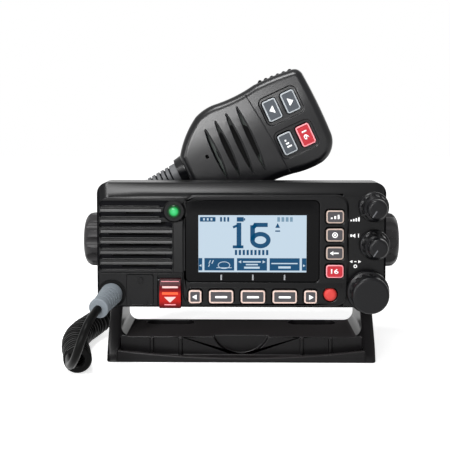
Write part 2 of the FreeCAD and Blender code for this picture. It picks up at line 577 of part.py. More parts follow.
def make_front_panel():
    body = new_body("front_panel")
    half = "panel_width / 2"
    rim = new_sketch(body, "XZ", "front_y + bevel_depth")
    rounded_rectangle(rim, f"-{half}", "panel_low_z", half, "panel_top_z", "panel_corner")
    pad(body, rim, "panel_depth - bevel_depth", reverse=True)
    back = new_sketch(body, "XZ", "front_y + bevel_depth")
    rounded_rectangle(back, f"-{half}", "panel_low_z", half, "panel_top_z", "panel_corner")
    face = new_sketch(body, "XZ", "front_y")
    rounded_rectangle(face, f"-{half} + bevel_side", "panel_low_z + bevel_side", f"{half} - bevel_side",
                      "panel_top_z - bevel_top", "panel_corner - 1")
    bevel = body.newObject("PartDesign::AdditiveLoft", "Bevel")
    bevel.Profile = back
    bevel.Sections = [face]
    bevel.Ruled = True
    doc.recompute()

    # hollow from behind: wide to the bevel, then narrower up to the front wall
    wide = new_sketch(body, "XZ", "front_y + panel_depth")
    rounded_rectangle(wide, f"-{half} + panel_wall", "panel_low_z + panel_wall", f"{half} - panel_wall",
                      "panel_top_z - panel_wall", "panel_corner - panel_wall")
    pocket(body, wide, "panel_depth - bevel_depth - panel_wall", reverse=True)
    narrow = new_sketch(body, "XZ", "front_y + bevel_depth + panel_wall")
    rounded_rectangle(narrow, f"-{half} + face_margin", "panel_low_z + face_margin",
                      f"{half} - face_margin", "panel_top_z - bevel_top", 3)
    pocket(body, narrow, "bevel_depth", reverse=True)
    bosses = new_sketch(body, "XZ", "front_y + boss_front")
    for x, z in SCREW_SPOTS:
        circle(bosses, x, z, "boss_radius")
    pad(body, bosses, "panel_depth - flange_thick - gasket_thick - 3", reverse=True)
    threads = new_sketch(body, "XZ", "front_y + panel_depth")
    for x, z in SCREW_SPOTS:
        circle(threads, x, z, "thread_radius")
    pocket(body, threads, "thread_depth", reverse=True)

    # louvres: a shallow groove in each row, and a slit along its top where the speaker is behind it
    groove = new_sketch(body, "XZ", "front_y")
    rounded_rectangle(groove, "louvre_left_x", "louvre_low_z - louvre_height / 2", "louvre_right_x",
                      "louvre_low_z + louvre_height / 2", "louvre_height / 2 - 0.05")
    first = pocket(body, groove, "louvre_depth")
    rise = "louvre_pitch * (louvre_count - 1)"
    pattern(body, "LinearPattern", first, "Z_Axis", rise, "louvre_count")
    slits = new_sketch(body, "XZ", "front_y")
    for number in range(int(value("louvre_count"))):
        middle = f"louvre_low_z + {number} * louvre_pitch + (louvre_height - slit_height) / 2"
        half = f"sqrt(speaker_hole_radius ^ 2 - ({middle} - speaker_z) ^ 2)"
        if abs(value(f"{middle} - speaker_z")) < value("speaker_hole_radius - slit_height"):
            rounded_rectangle(slits, f"speaker_x - {half}", f"{middle} - slit_height / 2",
                              f"speaker_x + {half}", f"{middle} + slit_height / 2", "slit_height / 2 - 0.05")
    pocket(body, slits, "panel_wall + 0.5")

    # the seat of the raised frame, and the openings behind it
    seat = new_sketch(body, "XZ", "front_y - 1")
    rounded_rectangle(seat, "pod_left_x", "pod_low_z", "pod_right_x", "pod_top_z", "pod_corner")
    pocket(body, seat, "pod_seat + 1")
    window = new_sketch(body, "XZ", "front_y")
    lcd_window(window)
    pocket(body, window, "panel_wall + 1")
    cut_key_holes(body, "front_y", "panel_wall + 3")

    # openings for the knob spindles, the lamp, the distress key, the port cover and the cord
    holes = new_sketch(body, "XZ", "front_y - 1")
    for knob in ("squelch", "volume", "dial"):
        circle(holes, f"{knob}_x", f"{knob}_z", "spindle_radius + spindle_hole_gap")
    circle(holes, "lamp_x", "lamp_z", "lamp_lens_radius + spindle_hole_gap")
    circle(holes, "gland_x", "gland_z", "gland_radius - 1.8")
    pocket(body, holes, "front_hole_depth")
    counterbore = new_sketch(body, "XZ", "front_y - 1")
    circle(counterbore, "gland_x", "gland_z", "gland_radius + 0.1")
    pocket(body, counterbore, "gland_seat + 1")
    recess = new_sketch(body, "XZ", "front_y")
    rounded_rectangle(recess, "distress_left_x - recess_margin", "distress_low_z - 0.3",
                      "distress_right_x + 0.15", "distress_pin_z + 2.9", 0.8)
    pocket(body, recess, "recess_depth")
    port = new_sketch(body, "XZ", "front_y")
    rounded_rectangle(port, "port_left_x", "port_low_z", "port_right_x", "port_top_z", 1)
    pocket(body, port, "port_seat")
    port_screw = new_sketch(body, "XZ", "front_y")
    circle(port_screw, "port_screw_x", "port_screw_z", "port_hole_radius")
    pocket(body, port_screw, "panel_wall + 1")
    distress_hole = new_sketch(body, "XZ", "front_y")
    gap = "distress_key_margin - distress_key_gap"
    rounded_rectangle(distress_hole, f"distress_left_x + {gap}", "distress_key_low_z - distress_key_gap",
                      f"distress_right_x - ({gap})", "distress_key_top_z + distress_key_gap", 1)
    pocket(body, distress_hole, "panel_wall + 3")
    hinge_holes = new_sketch(body, "YZ", "distress_left_x - recess_margin - 1.6")
    circle(hinge_holes, "front_y + distress_pin_depth", "distress_pin_z", "distress_pin_radius")
    pocket(body, hinge_holes, "distress_right_x - distress_left_x + recess_margin + 2.5", reverse=True)
    return node(body)


def make_display_bezel():
    """The raised frame: a rim, the display opening and the key openings."""
    body = new_body("display_bezel")
    outline = new_sketch(body, "XZ", "front_y + pod_seat")
    rounded_rectangle(outline, "pod_left_x", "pod_low_z", "pod_right_x", "pod_top_z", "pod_corner")
    pad(body, outline, "pod_rise + pod_seat")
    round_edges(body, "pod_edge", level_with("y", "front_y - pod_rise"))
    opening = new_sketch(body, "XZ", "front_y - pod_rise")
    rounded_rectangle(opening, "glass_left_x - glass_gap", "glass_low_z - glass_gap",
                      "glass_right_x + glass_gap", "glass_top_z + glass_gap", "glass_corner + glass_gap")
    pocket(body, opening, "pod_rise + 0.1")
    window = new_sketch(body, "XZ", "front_y")
    lcd_window(window)
    pocket(body, window, "pod_seat")
    cut_key_holes(body, "front_y - pod_rise", "pod_rise + pod_seat")
    notch = new_sketch(body, "XZ", "front_y - pod_rise")
    circle(notch, "lamp_x", "lamp_z", "lamp_ring_radius + 0.05")
    pocket(body, notch, "pod_rise + pod_seat")
    return node(body)


def plate(label, left, low, right, high, radius, front, thick, edge=None):
    """A rounded plate that faces the front, with its front edge rounded if edge is given."""
    body = new_body(label)
    outline = new_sketch(body, "XZ", front)
    rounded_rectangle(outline, left, low, right, high, radius)
    pad(body, outline, thick, reverse=True)
    if edge is not None:
        round_edges(body, edge, level_with("y", front))
    return node(body)


def make_display():
    plate("display_glass", "glass_left_x", "glass_low_z", "glass_right_x", "glass_top_z", "glass_corner",
          "front_y - glass_thick", "glass_thick", "glass_edge")
    plate("lcd_module", "lcd_left_x", "lcd_low_z", "lcd_right_x", "lcd_top_z", 0.6,
          "front_y + 0.1", "lcd_thick")


def make_lamp():
    """The green lamp: a lens in a raised ring."""
    ring = new_body("indicator_ring")
    inner, outer = "lamp_lens_radius", "lamp_ring_radius"
    revolve(ring, [(inner, 0), (outer, 0), (outer, 1.6), (f"{outer} - 1", "lamp_rise"),
                   (inner, "lamp_rise")])
    node(place(ring, "lamp_x", "front_y", "lamp_z", FreeCAD.Rotation(Vector(1, 0, 0), 90)))
    lens = new_body("indicator_lens")
    dome = [(0, "-lamp_root"), (inner, "-lamp_root"), (inner, "lamp_rise - 0.5"),
            ("lamp_lens_radius * 0.8", "lamp_rise + 0.7"), ("lamp_lens_radius * 0.4", "lamp_rise + 1.4"),
            (0, "lamp_rise + 1.6")]
    revolve(lens, dome)
    node(place(lens, "lamp_x", "front_y", "lamp_z", FreeCAD.Rotation(Vector(1, 0, 0), 90)))


def make_keys():
    for label, left, low, width, height in key_table():
        plate(label, left, low, f"{left} + {width}", f"{low} + {height}", "key_corner",
              "front_y - key_rise", "key_rise + key_tail", "key_edge")
    button = new_body("round_key")
    disc = new_sketch(button, "XZ", "front_y - key_rise")
    circle(disc, "round_key_x", "round_key_z", "round_key_radius")
    pad(button, disc, "key_rise + key_tail", reverse=True)
    round_edges(button, "round_key_edge", level_with("y", "front_y - key_rise"))
    node(button)


def make_speaker():
    """Loudspeaker: flange, cone basket and magnet as one turned shape behind the louvres."""
    body = new_body("speaker")
    revolve(body, [(0, 4), ("speaker_radius - 8", 3), ("speaker_radius - 2.5", 0.2), ("speaker_radius", 0.2),
                   ("speaker_radius", 2), ("speaker_radius - 3", 2.4), ("magnet_radius", "basket_depth"),
                   ("magnet_radius", "speaker_depth"), (0, "speaker_depth")])
    turn = FreeCAD.Rotation(Vector(1, 0, 0), -90)
    node(place(body, "speaker_x", "front_y + panel_wall", "speaker_z", turn))


# ---------------------------------------------------------------- distress cover, port cover, cord gland

def make_distress():
    pin_y = "front_y + distress_pin_depth"
    lid = new_body("distress_cover")
    side = new_sketch(lid, "YZ", "distress_left_x")
    front = "front_y - distress_thick"
    polygon(side, [
        (front, "distress_low_z"),
        ("front_y - 0.5", "distress_low_z"),
        ("front_y - 0.5", "distress_pin_z - 3.4"),
        (pin_y, "distress_pin_z - barrel_radius"),
        (pin_y, "distress_pin_z + 1"),
        ("front_y + 0.6", "distress_pin_z + 0.9"),
        (front, "distress_pin_z - 3.2"),
    ])
    pad(lid, side, "distress_right_x - distress_left_x")
    barrel = new_sketch(lid, "YZ", "distress_left_x")
    circle(barrel, pin_y, "distress_pin_z", "barrel_radius")
    pad(lid, barrel, "distress_right_x - distress_left_x")
    bore = new_sketch(lid, "YZ", "distress_left_x")
    circle(bore, pin_y, "distress_pin_z", "distress_pin_radius + running_clearance")
    pocket(lid, bore, "distress_right_x - distress_left_x", reverse=True)
    node(lid)
    node(cylinder("distress_pin", "X", "distress_pin_radius",
                  "distress_right_x - distress_left_x + recess_margin + 2.25",
                  "distress_left_x - recess_margin - 1.4", pin_y, "distress_pin_z"))
    plate("distress_key", "distress_left_x + distress_key_margin", "distress_key_low_z",
          "distress_right_x - distress_key_margin", "distress_key_top_z", 0.8,
          "front_y + distress_key_gap", "distress_key_length", 0.5)


def make_port_cover():
    body = new_body("port_cover")
    outline = new_sketch(body, "XZ", "front_y - 0.5")
    rounded_rectangle(outline, "port_left_x + port_gap", "port_low_z + port_gap",
                      "port_right_x - port_gap", "port_top_z - port_gap", 1)
    pad(body, outline, "port_thick", reverse=True)
    hole = new_sketch(body, "XZ", "front_y - 1")
    circle(hole, "port_screw_x", "port_screw_z", "port_hole_radius")
    pocket(body, hole, "2 * port_thick")
    for x in ("port_left_x + port_notch_x", "port_right_x - port_notch_x"):
        notch = new_sketch(body, "XZ", "front_y - 1")
        rounded_rectangle(notch, f"{x} - port_notch_half", "port_low_z - 1", f"{x} + port_notch_half",
                          "port_low_z + port_notch_height", 0.3)
        pocket(body, notch, "1.2")
    node(body)
    head = cylinder("port_screw_head", "Y", "port_screw_radius", 1.3,
                    "port_screw_x", "front_y - 1.8", "port_screw_z")
    shank = cylinder("port_screw_shank", "Y", 1.15, 4.5, "port_screw_x", "front_y - 0.6", "port_screw_z")
    slot = box("port_screw_slot", ("port_screw_x - 0.3", "front_y - 2", "port_screw_z - 3"),
               ("port_screw_x + 0.3", "front_y - 1.2", "port_screw_z + 3"))
    node(cut("port_cover_screw", fuse("port_screw_blank", [head, shank]), slot))


def ribbed_boot(body, length, base, tip, rib_start, rib_pitch, rib_count):
    """A tapering sleeve along +Z with ring grooves, as a bend relief has."""
    revolve(body, [(0, 0), (base, 0), (tip, length), (0, length)])
    sketch = new_sketch(body, "XZ")
    floor, rib_end = f"{base} - groove_depth - 0.6", f"{rib_start} + groove_width"
    outside = f"{base} + 2"
    polygon(sketch, [(floor, rib_start), (outside, rib_start), (outside, rib_end), (floor, rib_end)])
    before = body.Shape.Volume
    groove = body.newObject("PartDesign::Groove", "Groove")
    groove.Profile = sketch
    groove.ReferenceAxis = (origin_feature(body, "Z_Axis"), [""])
    groove.Angle = 360
    doc.recompute()
    if body.Shape.Volume > before - 0.01:
        raise RuntimeError(f"the groove of {body.Label} cuts nothing")
    pattern(body, "LinearPattern", groove, "Z_Axis", f"{rib_pitch} * ({rib_count} - 1)", rib_count)


def boot_direction():
    """The way the cord leaves the panel: forwards, and a little down and to the left."""
    down = math.radians(value("boot_lean_down"))
    left = math.radians(value("boot_lean_left"))
    return Vector(-math.tan(left), -1, -math.tan(down)).normalize()


def make_cord_exit():
    gland = new_body("cord_gland")
    bore, flange = "gland_bore", "gland_radius"
    sleeve = f"{flange} - 1.9"
    revolve(gland, [(bore, 0), (flange, 0), (flange, 1.2), (sleeve, 1.2), (sleeve, 8), (bore, 8)])
    node(place(gland, "gland_x", "front_y + 0.2", "gland_z", FreeCAD.Rotation(Vector(1, 0, 0), -90)))
    boot = new_body("radio_boot")
    ribbed_boot(boot, "boot_length", "boot_radius", "boot_tip_radius", 7, 3.2, 5)
    plug = new_sketch(boot, "XY", 0)
    circle(plug, 0, 0, "gland_bore - 0.7")
    pad(boot, plug, "3.5", reverse=True)
    collar = new_sketch(boot, "XY", "boot_length - boot_collar")
    circle(collar, 0, 0, "boot_tip_radius + 0.7")
    pad(boot, collar, "boot_collar")
    turn = FreeCAD.Rotation(Vector(0, 0, 1), boot_direction())
    node(place(boot, "gland_x", "front_y - 2", "gland_z", turn))


# ---------------------------------------------------------------- knobs and the parts behind them

def fluted_knob(label, base, cap, length, skirt, flutes, flute_radius, x, gap, z):
    """A knob that faces forwards: a skirt, a tapering fluted barrel, a pointer groove and a bore."""
    body = new_body(label)
    shoulder = f"{base} - 1"
    revolve(body, [(0, 0), (base, 0), (base, f"{skirt} - 0.8"), (shoulder, skirt),
                   (f"{cap} + 0.6", f"{length} - 1"), (f"{cap} - 0.4", length), (0, length)])
    flute = new_sketch(body, "XY", skirt)
    circle(flute, f"{base} + {flute_radius} - flute_bite", 0, flute_radius)
    first = pocket(body, flute, length, reverse=True)
    pattern(body, "PolarPattern", first, "Z_Axis", 360, flutes)
    bore = new_sketch(body, "XY", 0)
    circle(bore, 0, 0, "spindle_radius + running_clearance")
    pocket(body, bore, f"{length} - knob_crown", reverse=True)
    turn = FreeCAD.Rotation(Vector(1, 0, 0), 90)
    return place(body, x, f"front_y - {gap}", z, turn)


def make_knobs():
    small = ("small_knob_radius", "small_cap_radius", "small_knob_length", "small_skirt",
             "small_flute_count", "small_flute_radius")
    for name in ("squelch", "volume"):
        knob = fluted_knob(f"{name}_knob", *small, f"{name}_x", "knob_gap", f"{name}_z")
        pointer = new_sketch(knob, "XY", "small_knob_length")
        rounded_rectangle(pointer, "-pointer_half", "-small_cap_radius - 1", "pointer_half", -0.5, 0.3)
        pocket(knob, pointer, "pointer_depth")
        node(knob)
    node(fluted_knob("dial_knob", "dial_radius", "dial_cap_radius", "dial_length", "dial_skirt",
                     "dial_flute_count", "dial_flute_radius", "dial_x", "dial_gap", "dial_z"))
    reach = "dial_gap + dial_length - dial_shaft_tip"
    node(cylinder("dial_shaft", "Y", "spindle_radius", f"{reach} + dial_shaft_tail",
                  "dial_x", f"front_y - ({reach})", "dial_z"))


def make_pots():
    """The two small potentiometers: a case with a spindle each, as one node of two solids."""
    pots = []
    for name in ("squelch", "volume"):
        case = box(f"{name}_case",
                   (f"{name}_x - pot_left", "front_y + panel_wall + pot_gap", f"{name}_z - pot_half"),
                   (f"{name}_x + pot_right", "front_y + pot_depth", f"{name}_z + pot_half"))
        reach = "knob_gap + small_knob_length - 5"
        spindle = cylinder(f"{name}_spindle", "Y", "spindle_radius", f"{reach} + 5",
                           f"{name}_x", f"front_y - ({reach})", f"{name}_z")
        pots.append(fuse(f"{name}_pot", [case, spindle]))
    node(group("knob_pots", pots))
    case = box("encoder_case",
               ("dial_x - encoder_half", "front_y + panel_wall + pot_gap", "dial_z - encoder_down"),
               ("dial_x + encoder_half", "front_y + pot_depth", "dial_z + encoder_half"))
    bore = cylinder("encoder_bore", "Y", "spindle_radius + running_clearance", 10,
                    "dial_x", "front_y - 3", "dial_z")
    node(cut("dial_encoder", case, bore))


# Shielding cans on the main board: left, front, right, back and height.
CANS = ((-20, -30, 25, 10, 6), (35, 5, 60, 35, 9), (-60, -25, -35, 30, 4))


def make_boards():
    control = new_body("control_board")
    sheet = new_sketch(control, "XZ", "front_y + control_depth")
    rounded_rectangle(sheet, "control_left_x", "control_low_z", "control_right_x", "control_top_z", 1.5)
    pad(control, sheet, "board_thick", reverse=True)
    corner = new_sketch(control, "XZ", "front_y + control_depth - 1")
    for x, z in SCREW_SPOTS[2:]:
        rounded_rectangle(corner, f"{x} - boss_radius - 0.5", f"{z} - 5", f"{x} + 7", f"{z} + 5", 1)
    pocket(control, corner, "board_thick + 2")
    node(control)
    main = new_body("main_board")
    sheet = new_sketch(main, "XY", "main_z")
    rounded_rectangle(sheet, "-main_half", "front_y + main_front", "main_half",
                      "chassis_back_y - chassis_rear_wall - 2", 2)
    pad(main, sheet, "board_thick")
    for left, front, right, back, tall in CANS:
        chip = new_sketch(main, "XY", "main_z + board_thick - 0.1")
        rounded_rectangle(chip, left, front, right, back, 1)
        pad(main, chip, tall)
    node(main)


# ---------------------------------------------------------------- chassis and what is on it

def make_chassis():
    body = new_body("chassis")
    half, low, top = "chassis_half", "chassis_low_z", "chassis_top_z"
    front = "front_y + panel_depth - flange_thick - 0.5"
    section = new_sketch(body, "XZ", front)
    polygon(section, [
        (f"-{half} + belly_chamfer", low),
        (f"{half} - belly_chamfer", low),
        (half, f"{low} + belly_chamfer"),
        (half, f"{top} - shoulder_drop"),
        (f"{half} - shoulder_width", top),
        (f"-{half} + shoulder_width", top),
        (f"-{half}", f"{top} - shoulder_drop"),
        (f"-{half}", f"{low} + belly_chamfer"),
    ])
    pad(body, section, f"chassis_back_y - ({front})", reverse=True)
    flange = new_sketch(body, "XZ", front)
    rounded_rectangle(flange, "-flange_half", "panel_low_z + flange_margin", "flange_half",
                      "panel_top_z - flange_margin", 3.7)
    pad(body, flange, "flange_thick", reverse=True)
    inside = new_sketch(body, "XZ", front)
    wall = "chassis_wall"
    rounded_rectangle(inside, f"-{half} + {wall}", f"{low} + {wall}", f"{half} - {wall}",
                      f"{top} - shoulder_drop - 1", 3)
    pocket(body, inside, f"chassis_back_y - chassis_rear_wall - ({front})")

    # screwed bosses for the clamp studs, and the screw holes of the flange
    for sign, reverse in (("-1", False), ("1", True)):
        boss = new_sketch(body, "YZ", f"{sign} * (chassis_half - 0.5)")
        circle(boss, "pivot_y", "pivot_z", "pivot_boss_radius")
        pad(body, boss, "pivot_boss_depth", reverse=reverse)
    bore = new_sketch(body, "YZ")
    circle(bore, "pivot_y", "pivot_z", "stud_radius + running_clearance")
    pocket(body, bore, "2 * chassis_half + 4", both=True)
    holes = new_sketch(body, "XZ", f"{front} - 1")
    for x, z in SCREW_SPOTS:
        circle(holes, x, z, "thread_radius + 0.3")
    pocket(body, holes, "2 * flange_thick + 1")

    # cooling fins: slots down the back, and along the top behind the microphone's place
    back_slot = new_sketch(body, "XZ", "chassis_back_y")
    rounded_rectangle(back_slot, "-3 * fin_pitch - fin_slot / 2", "chassis_low_z + 5",
                      "-3 * fin_pitch + fin_slot / 2", "chassis_top_z + 5", 1)
    first = pocket(body, back_slot, "fin_depth", reverse=True)
    pattern(body, "LinearPattern", first, "X_Axis", "6 * fin_pitch", 7)
    top_slot = new_sketch(body, "XY", "chassis_top_z")
    rounded_rectangle(top_slot, "-8 * fin_pitch - fin_slot / 2", "fin_front_y",
                      "-8 * fin_pitch + fin_slot / 2", "chassis_back_y + 5", 1)
    first = pocket(body, top_slot, "fin_depth")
    pattern(body, "LinearPattern", first, "X_Axis", "16 * fin_pitch", 17)
    for spot, radius in (("antenna", "antenna_hole"), ("power", "power_radius - 2")):
        hole = new_sketch(body, "XZ", "chassis_back_y")
        circle(hole, f"{spot}_x", f"{spot}_z", radius)
        pocket(body, hole, "chassis_rear_wall + 1", reverse=True)
    return node(body)


def make_gasket():
    body = new_body("panel_gasket")
    ring = new_sketch(body, "XZ", "front_y + panel_depth - flange_thick - gasket_thick - 0.5")
    for inset, corner in (("0.1", 3.6), ("(0.1 + gasket_band)", 2)):
        reach, margin = f"flange_half - {inset}", f"flange_margin + {inset}"
        rounded_rectangle(ring, f"-({reach})", f"panel_low_z + {margin}", reach,
                          f"panel_top_z - ({margin})", corner)
    pad(body, ring, "gasket_thick", reverse=True)
    node(body)


def make_chassis_screws():
    screws = []
    rear = "front_y + panel_depth - 0.5"
    for number, (x, z) in enumerate(SCREW_SPOTS, start=1):
        head = cylinder(f"screw_head_{number}", "Y", 2.7, 2, x, rear, z)
        shank = cylinder(f"screw_shank_{number}", "Y", "thread_radius", 12.5, x, f"{rear} - 12", z)
        screws.append(fuse(f"screw_{number}", [head, shank]))
    node(group("chassis_screws", screws))


def make_rear_parts():
    socket = new_body("antenna_socket")
    radius, length = "antenna_radius", "antenna_length"
    shank, flange, floor = "antenna_hole - 0.4", "antenna_flange", "antenna_length - antenna_bore_depth"
    revolve(socket, [(0, -10), (shank, -10), (shank, 0), (flange, 0), (flange, 2.5), (radius, 2.5),
                     (radius, length), ("antenna_bore", length), ("antenna_bore", floor), (0, floor)])
    bore = new_sketch(socket, "XY", floor)
    circle(bore, 0, 0, 1.9)
    pocket(socket, bore, 6)
    node(place(socket, "antenna_x", "chassis_back_y", "antenna_z", FreeCAD.Rotation(Vector(1, 0, 0), -90)))
    gland = new_body("power_gland")
    revolve(gland, [("power_bore", -8), ("power_radius - 2.1", -8), ("power_radius - 2.1", 0),
                    ("power_radius + 1", 0), ("power_radius", 4), ("power_radius - 3", 7), ("power_bore", 7)])
    node(place(gland, "power_x", "chassis_back_y", "power_z", FreeCAD.Rotation(Vector(1, 0, 0), -90)))


# ---------------------------------------------------------------- microphone

def on_mic(body):
    """Put a piece drawn in the microphone's own frame where the microphone stands, leaning on its side."""
    turn = FreeCAD.Rotation(Vector(0, 1, 0), -value("mic_lean"))
    return node(place(body, "mic_x", "mic_y", "mic_z", turn))


# The microphone's pear-shaped side view: full cheeks, a waist, a round heel below and a tight corner
# above. Each corner is its place along the microphone, its distance from the middle line, and how far
# the side after it bows outwards, round from the neck, along the lower side and back along the upper.
MIC_LOWER = (("0", "mic_neck_half", 1.6), ("mic_shoulder", "mic_shoulder_half", 0.9),
             ("mic_belly", "mic_half", -1.1), ("mic_waist", "mic_waist_half", 0.8),
             ("mic_heel", "mic_heel_half", 3.4), ("mic_length", "mic_foot_half", 0.8))
MIC_UPPER = (("mic_corner", "mic_corner_half", 0.9), ("mic_waist", "mic_waist_half", -1.1),
             ("mic_belly", "mic_half", 0.9), ("mic_shoulder", "mic_shoulder_half", 1.6),
             ("0", "mic_neck_half", 0))


def mic_corners():
    """The corners of the side view: x, y and the bow of the side that follows."""
    return ([(x, f"mic_middle - {half}", bow) for x, half, bow in MIC_LOWER]
            + [(x, f"mic_middle + {half}", bow) for x, half, bow in MIC_UPPER])


def mic_cavity(sketch):
    """The hollow inside, drawn straight-sided, with a wall of about mic_wall all round."""
    halves = [("mic_cavity_start", "mic_cavity_neck"), ("mic_cavity_shoulder", "mic_cavity_half"),
              ("mic_cavity_waist", "mic_cavity_waist_half"), ("mic_cavity_end", "mic_cavity_end_half")]
    lower = [(x, f"mic_middle - {half}") for x, half in halves]
    polygon(sketch, lower + [(x, f"mic_middle + {half}") for x, half in reversed(halves)])


def mic_shell(label, front, depth, rounded_face, radius):
    body = new_body(label)
    outline = new_sketch(body, "XZ", front)
    bowed_outline(outline, mic_corners())
    pad(body, outline, depth, reverse=True)
    corners = [(x, y) for x, y, _ in mic_corners()]
    tight = [(x, y) for x, y in corners if x in ("0", "mic_corner")]
    round_edges(body, "mic_corner_radius", upright_at("xz", tight))
    round_edges(body, "mic_joint_radius", upright_at("xz", [spot for spot in corners if spot not in tight]))
    round_edges(body, radius, level_with("y", rounded_face))
    return body


# The four speaker slots: place along the microphone, and length.
MIC_SLOTS = ((23.1, 34.8), (31.4, 39.3), (39.9, 42.3), (48.1, 44.2))
MIC_SLOT_MIDDLE = -0.7


def make_mic_shells():
    shell = mic_shell("mic_front_shell", 0, "mic_front_depth", 0, "mic_edge")
    hollow = new_sketch(shell, "XZ", "mic_front_depth")
    mic_cavity(hollow)
    pocket(shell, hollow, "mic_front_depth - mic_wall", reverse=True)
    for x, length in MIC_SLOTS:
        slot = new_sketch(shell, "XZ", 0)
        left, right = f"{x} - slot_half", f"{x} + slot_half"
        low, high = MIC_SLOT_MIDDLE - length / 2, MIC_SLOT_MIDDLE + length / 2
        bowed_outline(slot, [(left, low, 0), (right, low, "slot_bow"), (right, high, 0),
                             (left, high, "slot_bow")])
        pocket(shell, slot, "2 * mic_wall")
    hole = new_sketch(shell, "XZ", 0)
    circle(hole, "mic_hole_x", "mic_hole_z", "mic_hole_radius")
    pocket(shell, hole, "2 * mic_wall")
    for middle in ("mic_key_upper", "mic_key_lower"):
        frame = new_sketch(shell, "XZ", 0)
        rounded_rectangle(frame, "mic_key_inner - mic_key_width / 2 - key_frame_side",
                          f"{middle} - mic_key_height / 2 - key_frame_end",
                          "mic_key_outer + mic_key_width / 2 + key_frame_side",
                          f"{middle} + mic_key_height / 2 + key_frame_end", "key_frame_corner")
        pocket(shell, frame, "key_frame_depth")
    keys = new_sketch(shell, "XZ", 0)
    for x, z in MIC_KEYS.values():
        rounded_rectangle(keys, f"{x} - mic_key_width / 2 - key_gap", f"{z} - mic_key_height / 2 - key_gap",
                          f"{x} + mic_key_width / 2 + key_gap", f"{z} + mic_key_height / 2 + key_gap", 2.2)
    pocket(shell, keys, "2 * mic_wall")
    gate = new_sketch(shell, "XY", "mic_middle + mic_half + 5")
    rounded_rectangle(gate, "ptt_start - ptt_gap", "ptt_front - ptt_gap", "ptt_end + ptt_gap",
                      "ptt_front + ptt_width + ptt_gap", 1.4)
    pocket(shell, gate, 14)
    on_mic(shell)

    back = mic_shell("mic_rear_shell", "mic_front_depth", "mic_depth - mic_front_depth", "mic_depth", 4)
    hollow = new_sketch(back, "XZ", "mic_front_depth")
    mic_cavity(hollow)
    pocket(back, hollow, "mic_depth - mic_front_depth - mic_wall")
    stud_hole = new_sketch(back, "XZ", "mic_depth")
    circle(stud_hole, "hang_x", "mic_middle", 2)
    pocket(back, stud_hole, 8, reverse=True)
    sinks = new_sketch(back, "XZ", "mic_depth")
    for x, z in MIC_SCREW_SPOTS:
        circle(sinks, x, z, "mic_screw_head + 0.2")
    pocket(back, sinks, "mic_screw_sink", reverse=True)
    holes = new_sketch(back, "XZ", "mic_depth")
    for x, z in MIC_SCREW_SPOTS:
        circle(holes, x, z, 1.25)
    pocket(back, holes, 8, reverse=True)
    on_mic(back)


MIC_KEYS = {
    "mic_key_down": ("mic_key_inner", "mic_key_upper"),
    "mic_key_up": ("mic_key_outer", "mic_key_upper"),
    "mic_key_power": ("mic_key_inner", "mic_key_lower"),
    "mic_key_channel": ("mic_key_outer", "mic_key_lower"),
}
# Where the microphone's four screws are: along it, and across it.
MIC_SCREW_SPOTS = ((17, -17), (17, 13), (84, -24), (84, 20))


def make_mic_keys():
    for label, (x, z) in MIC_KEYS.items():
        body = new_body(label)
        outline = new_sketch(body, "XZ", "-mic_key_rise")
        rounded_rectangle(outline, f"{x} - mic_key_width / 2", f"{z} - mic_key_height / 2",
                          f"{x} + mic_key_width / 2", f"{z} + mic_key_height / 2", "mic_key_corner")
        pad(body, outline, "mic_key_rise + mic_wall + 1", reverse=True)
        round_edges(body, "key_edge", level_with("y", "-mic_key_rise"))
        on_mic(body)


def make_ptt():
    """The push-to-talk bar: a sloping slab with finger ridges, in the gate of the front shell."""
    body = new_body("mic_ptt")
    side = new_sketch(body, "XZ", "ptt_front")
    polygon(side, [("ptt_start", "mic_middle + ptt_root"), ("ptt_end", "mic_middle + ptt_root"),
                   ("ptt_end", "mic_middle + ptt_end_half"), ("ptt_start", "mic_middle + ptt_start_half")])
    pad(body, side, "ptt_width", reverse=True)
    ridges = new_sketch(body, "XZ", "ptt_front")
    count = int(value("ptt_ridge_count"))
    for number in range(count):
        share = (number + 0.5) / count
        circle(ridges, f"ptt_start + (ptt_end - ptt_start) * {share}",
               f"mic_middle + ptt_start_half + (ptt_end_half - ptt_start_half) * {share}", "ptt_ridge_radius")
    pad(body, ridges, "ptt_width", reverse=True)
    on_mic(body)


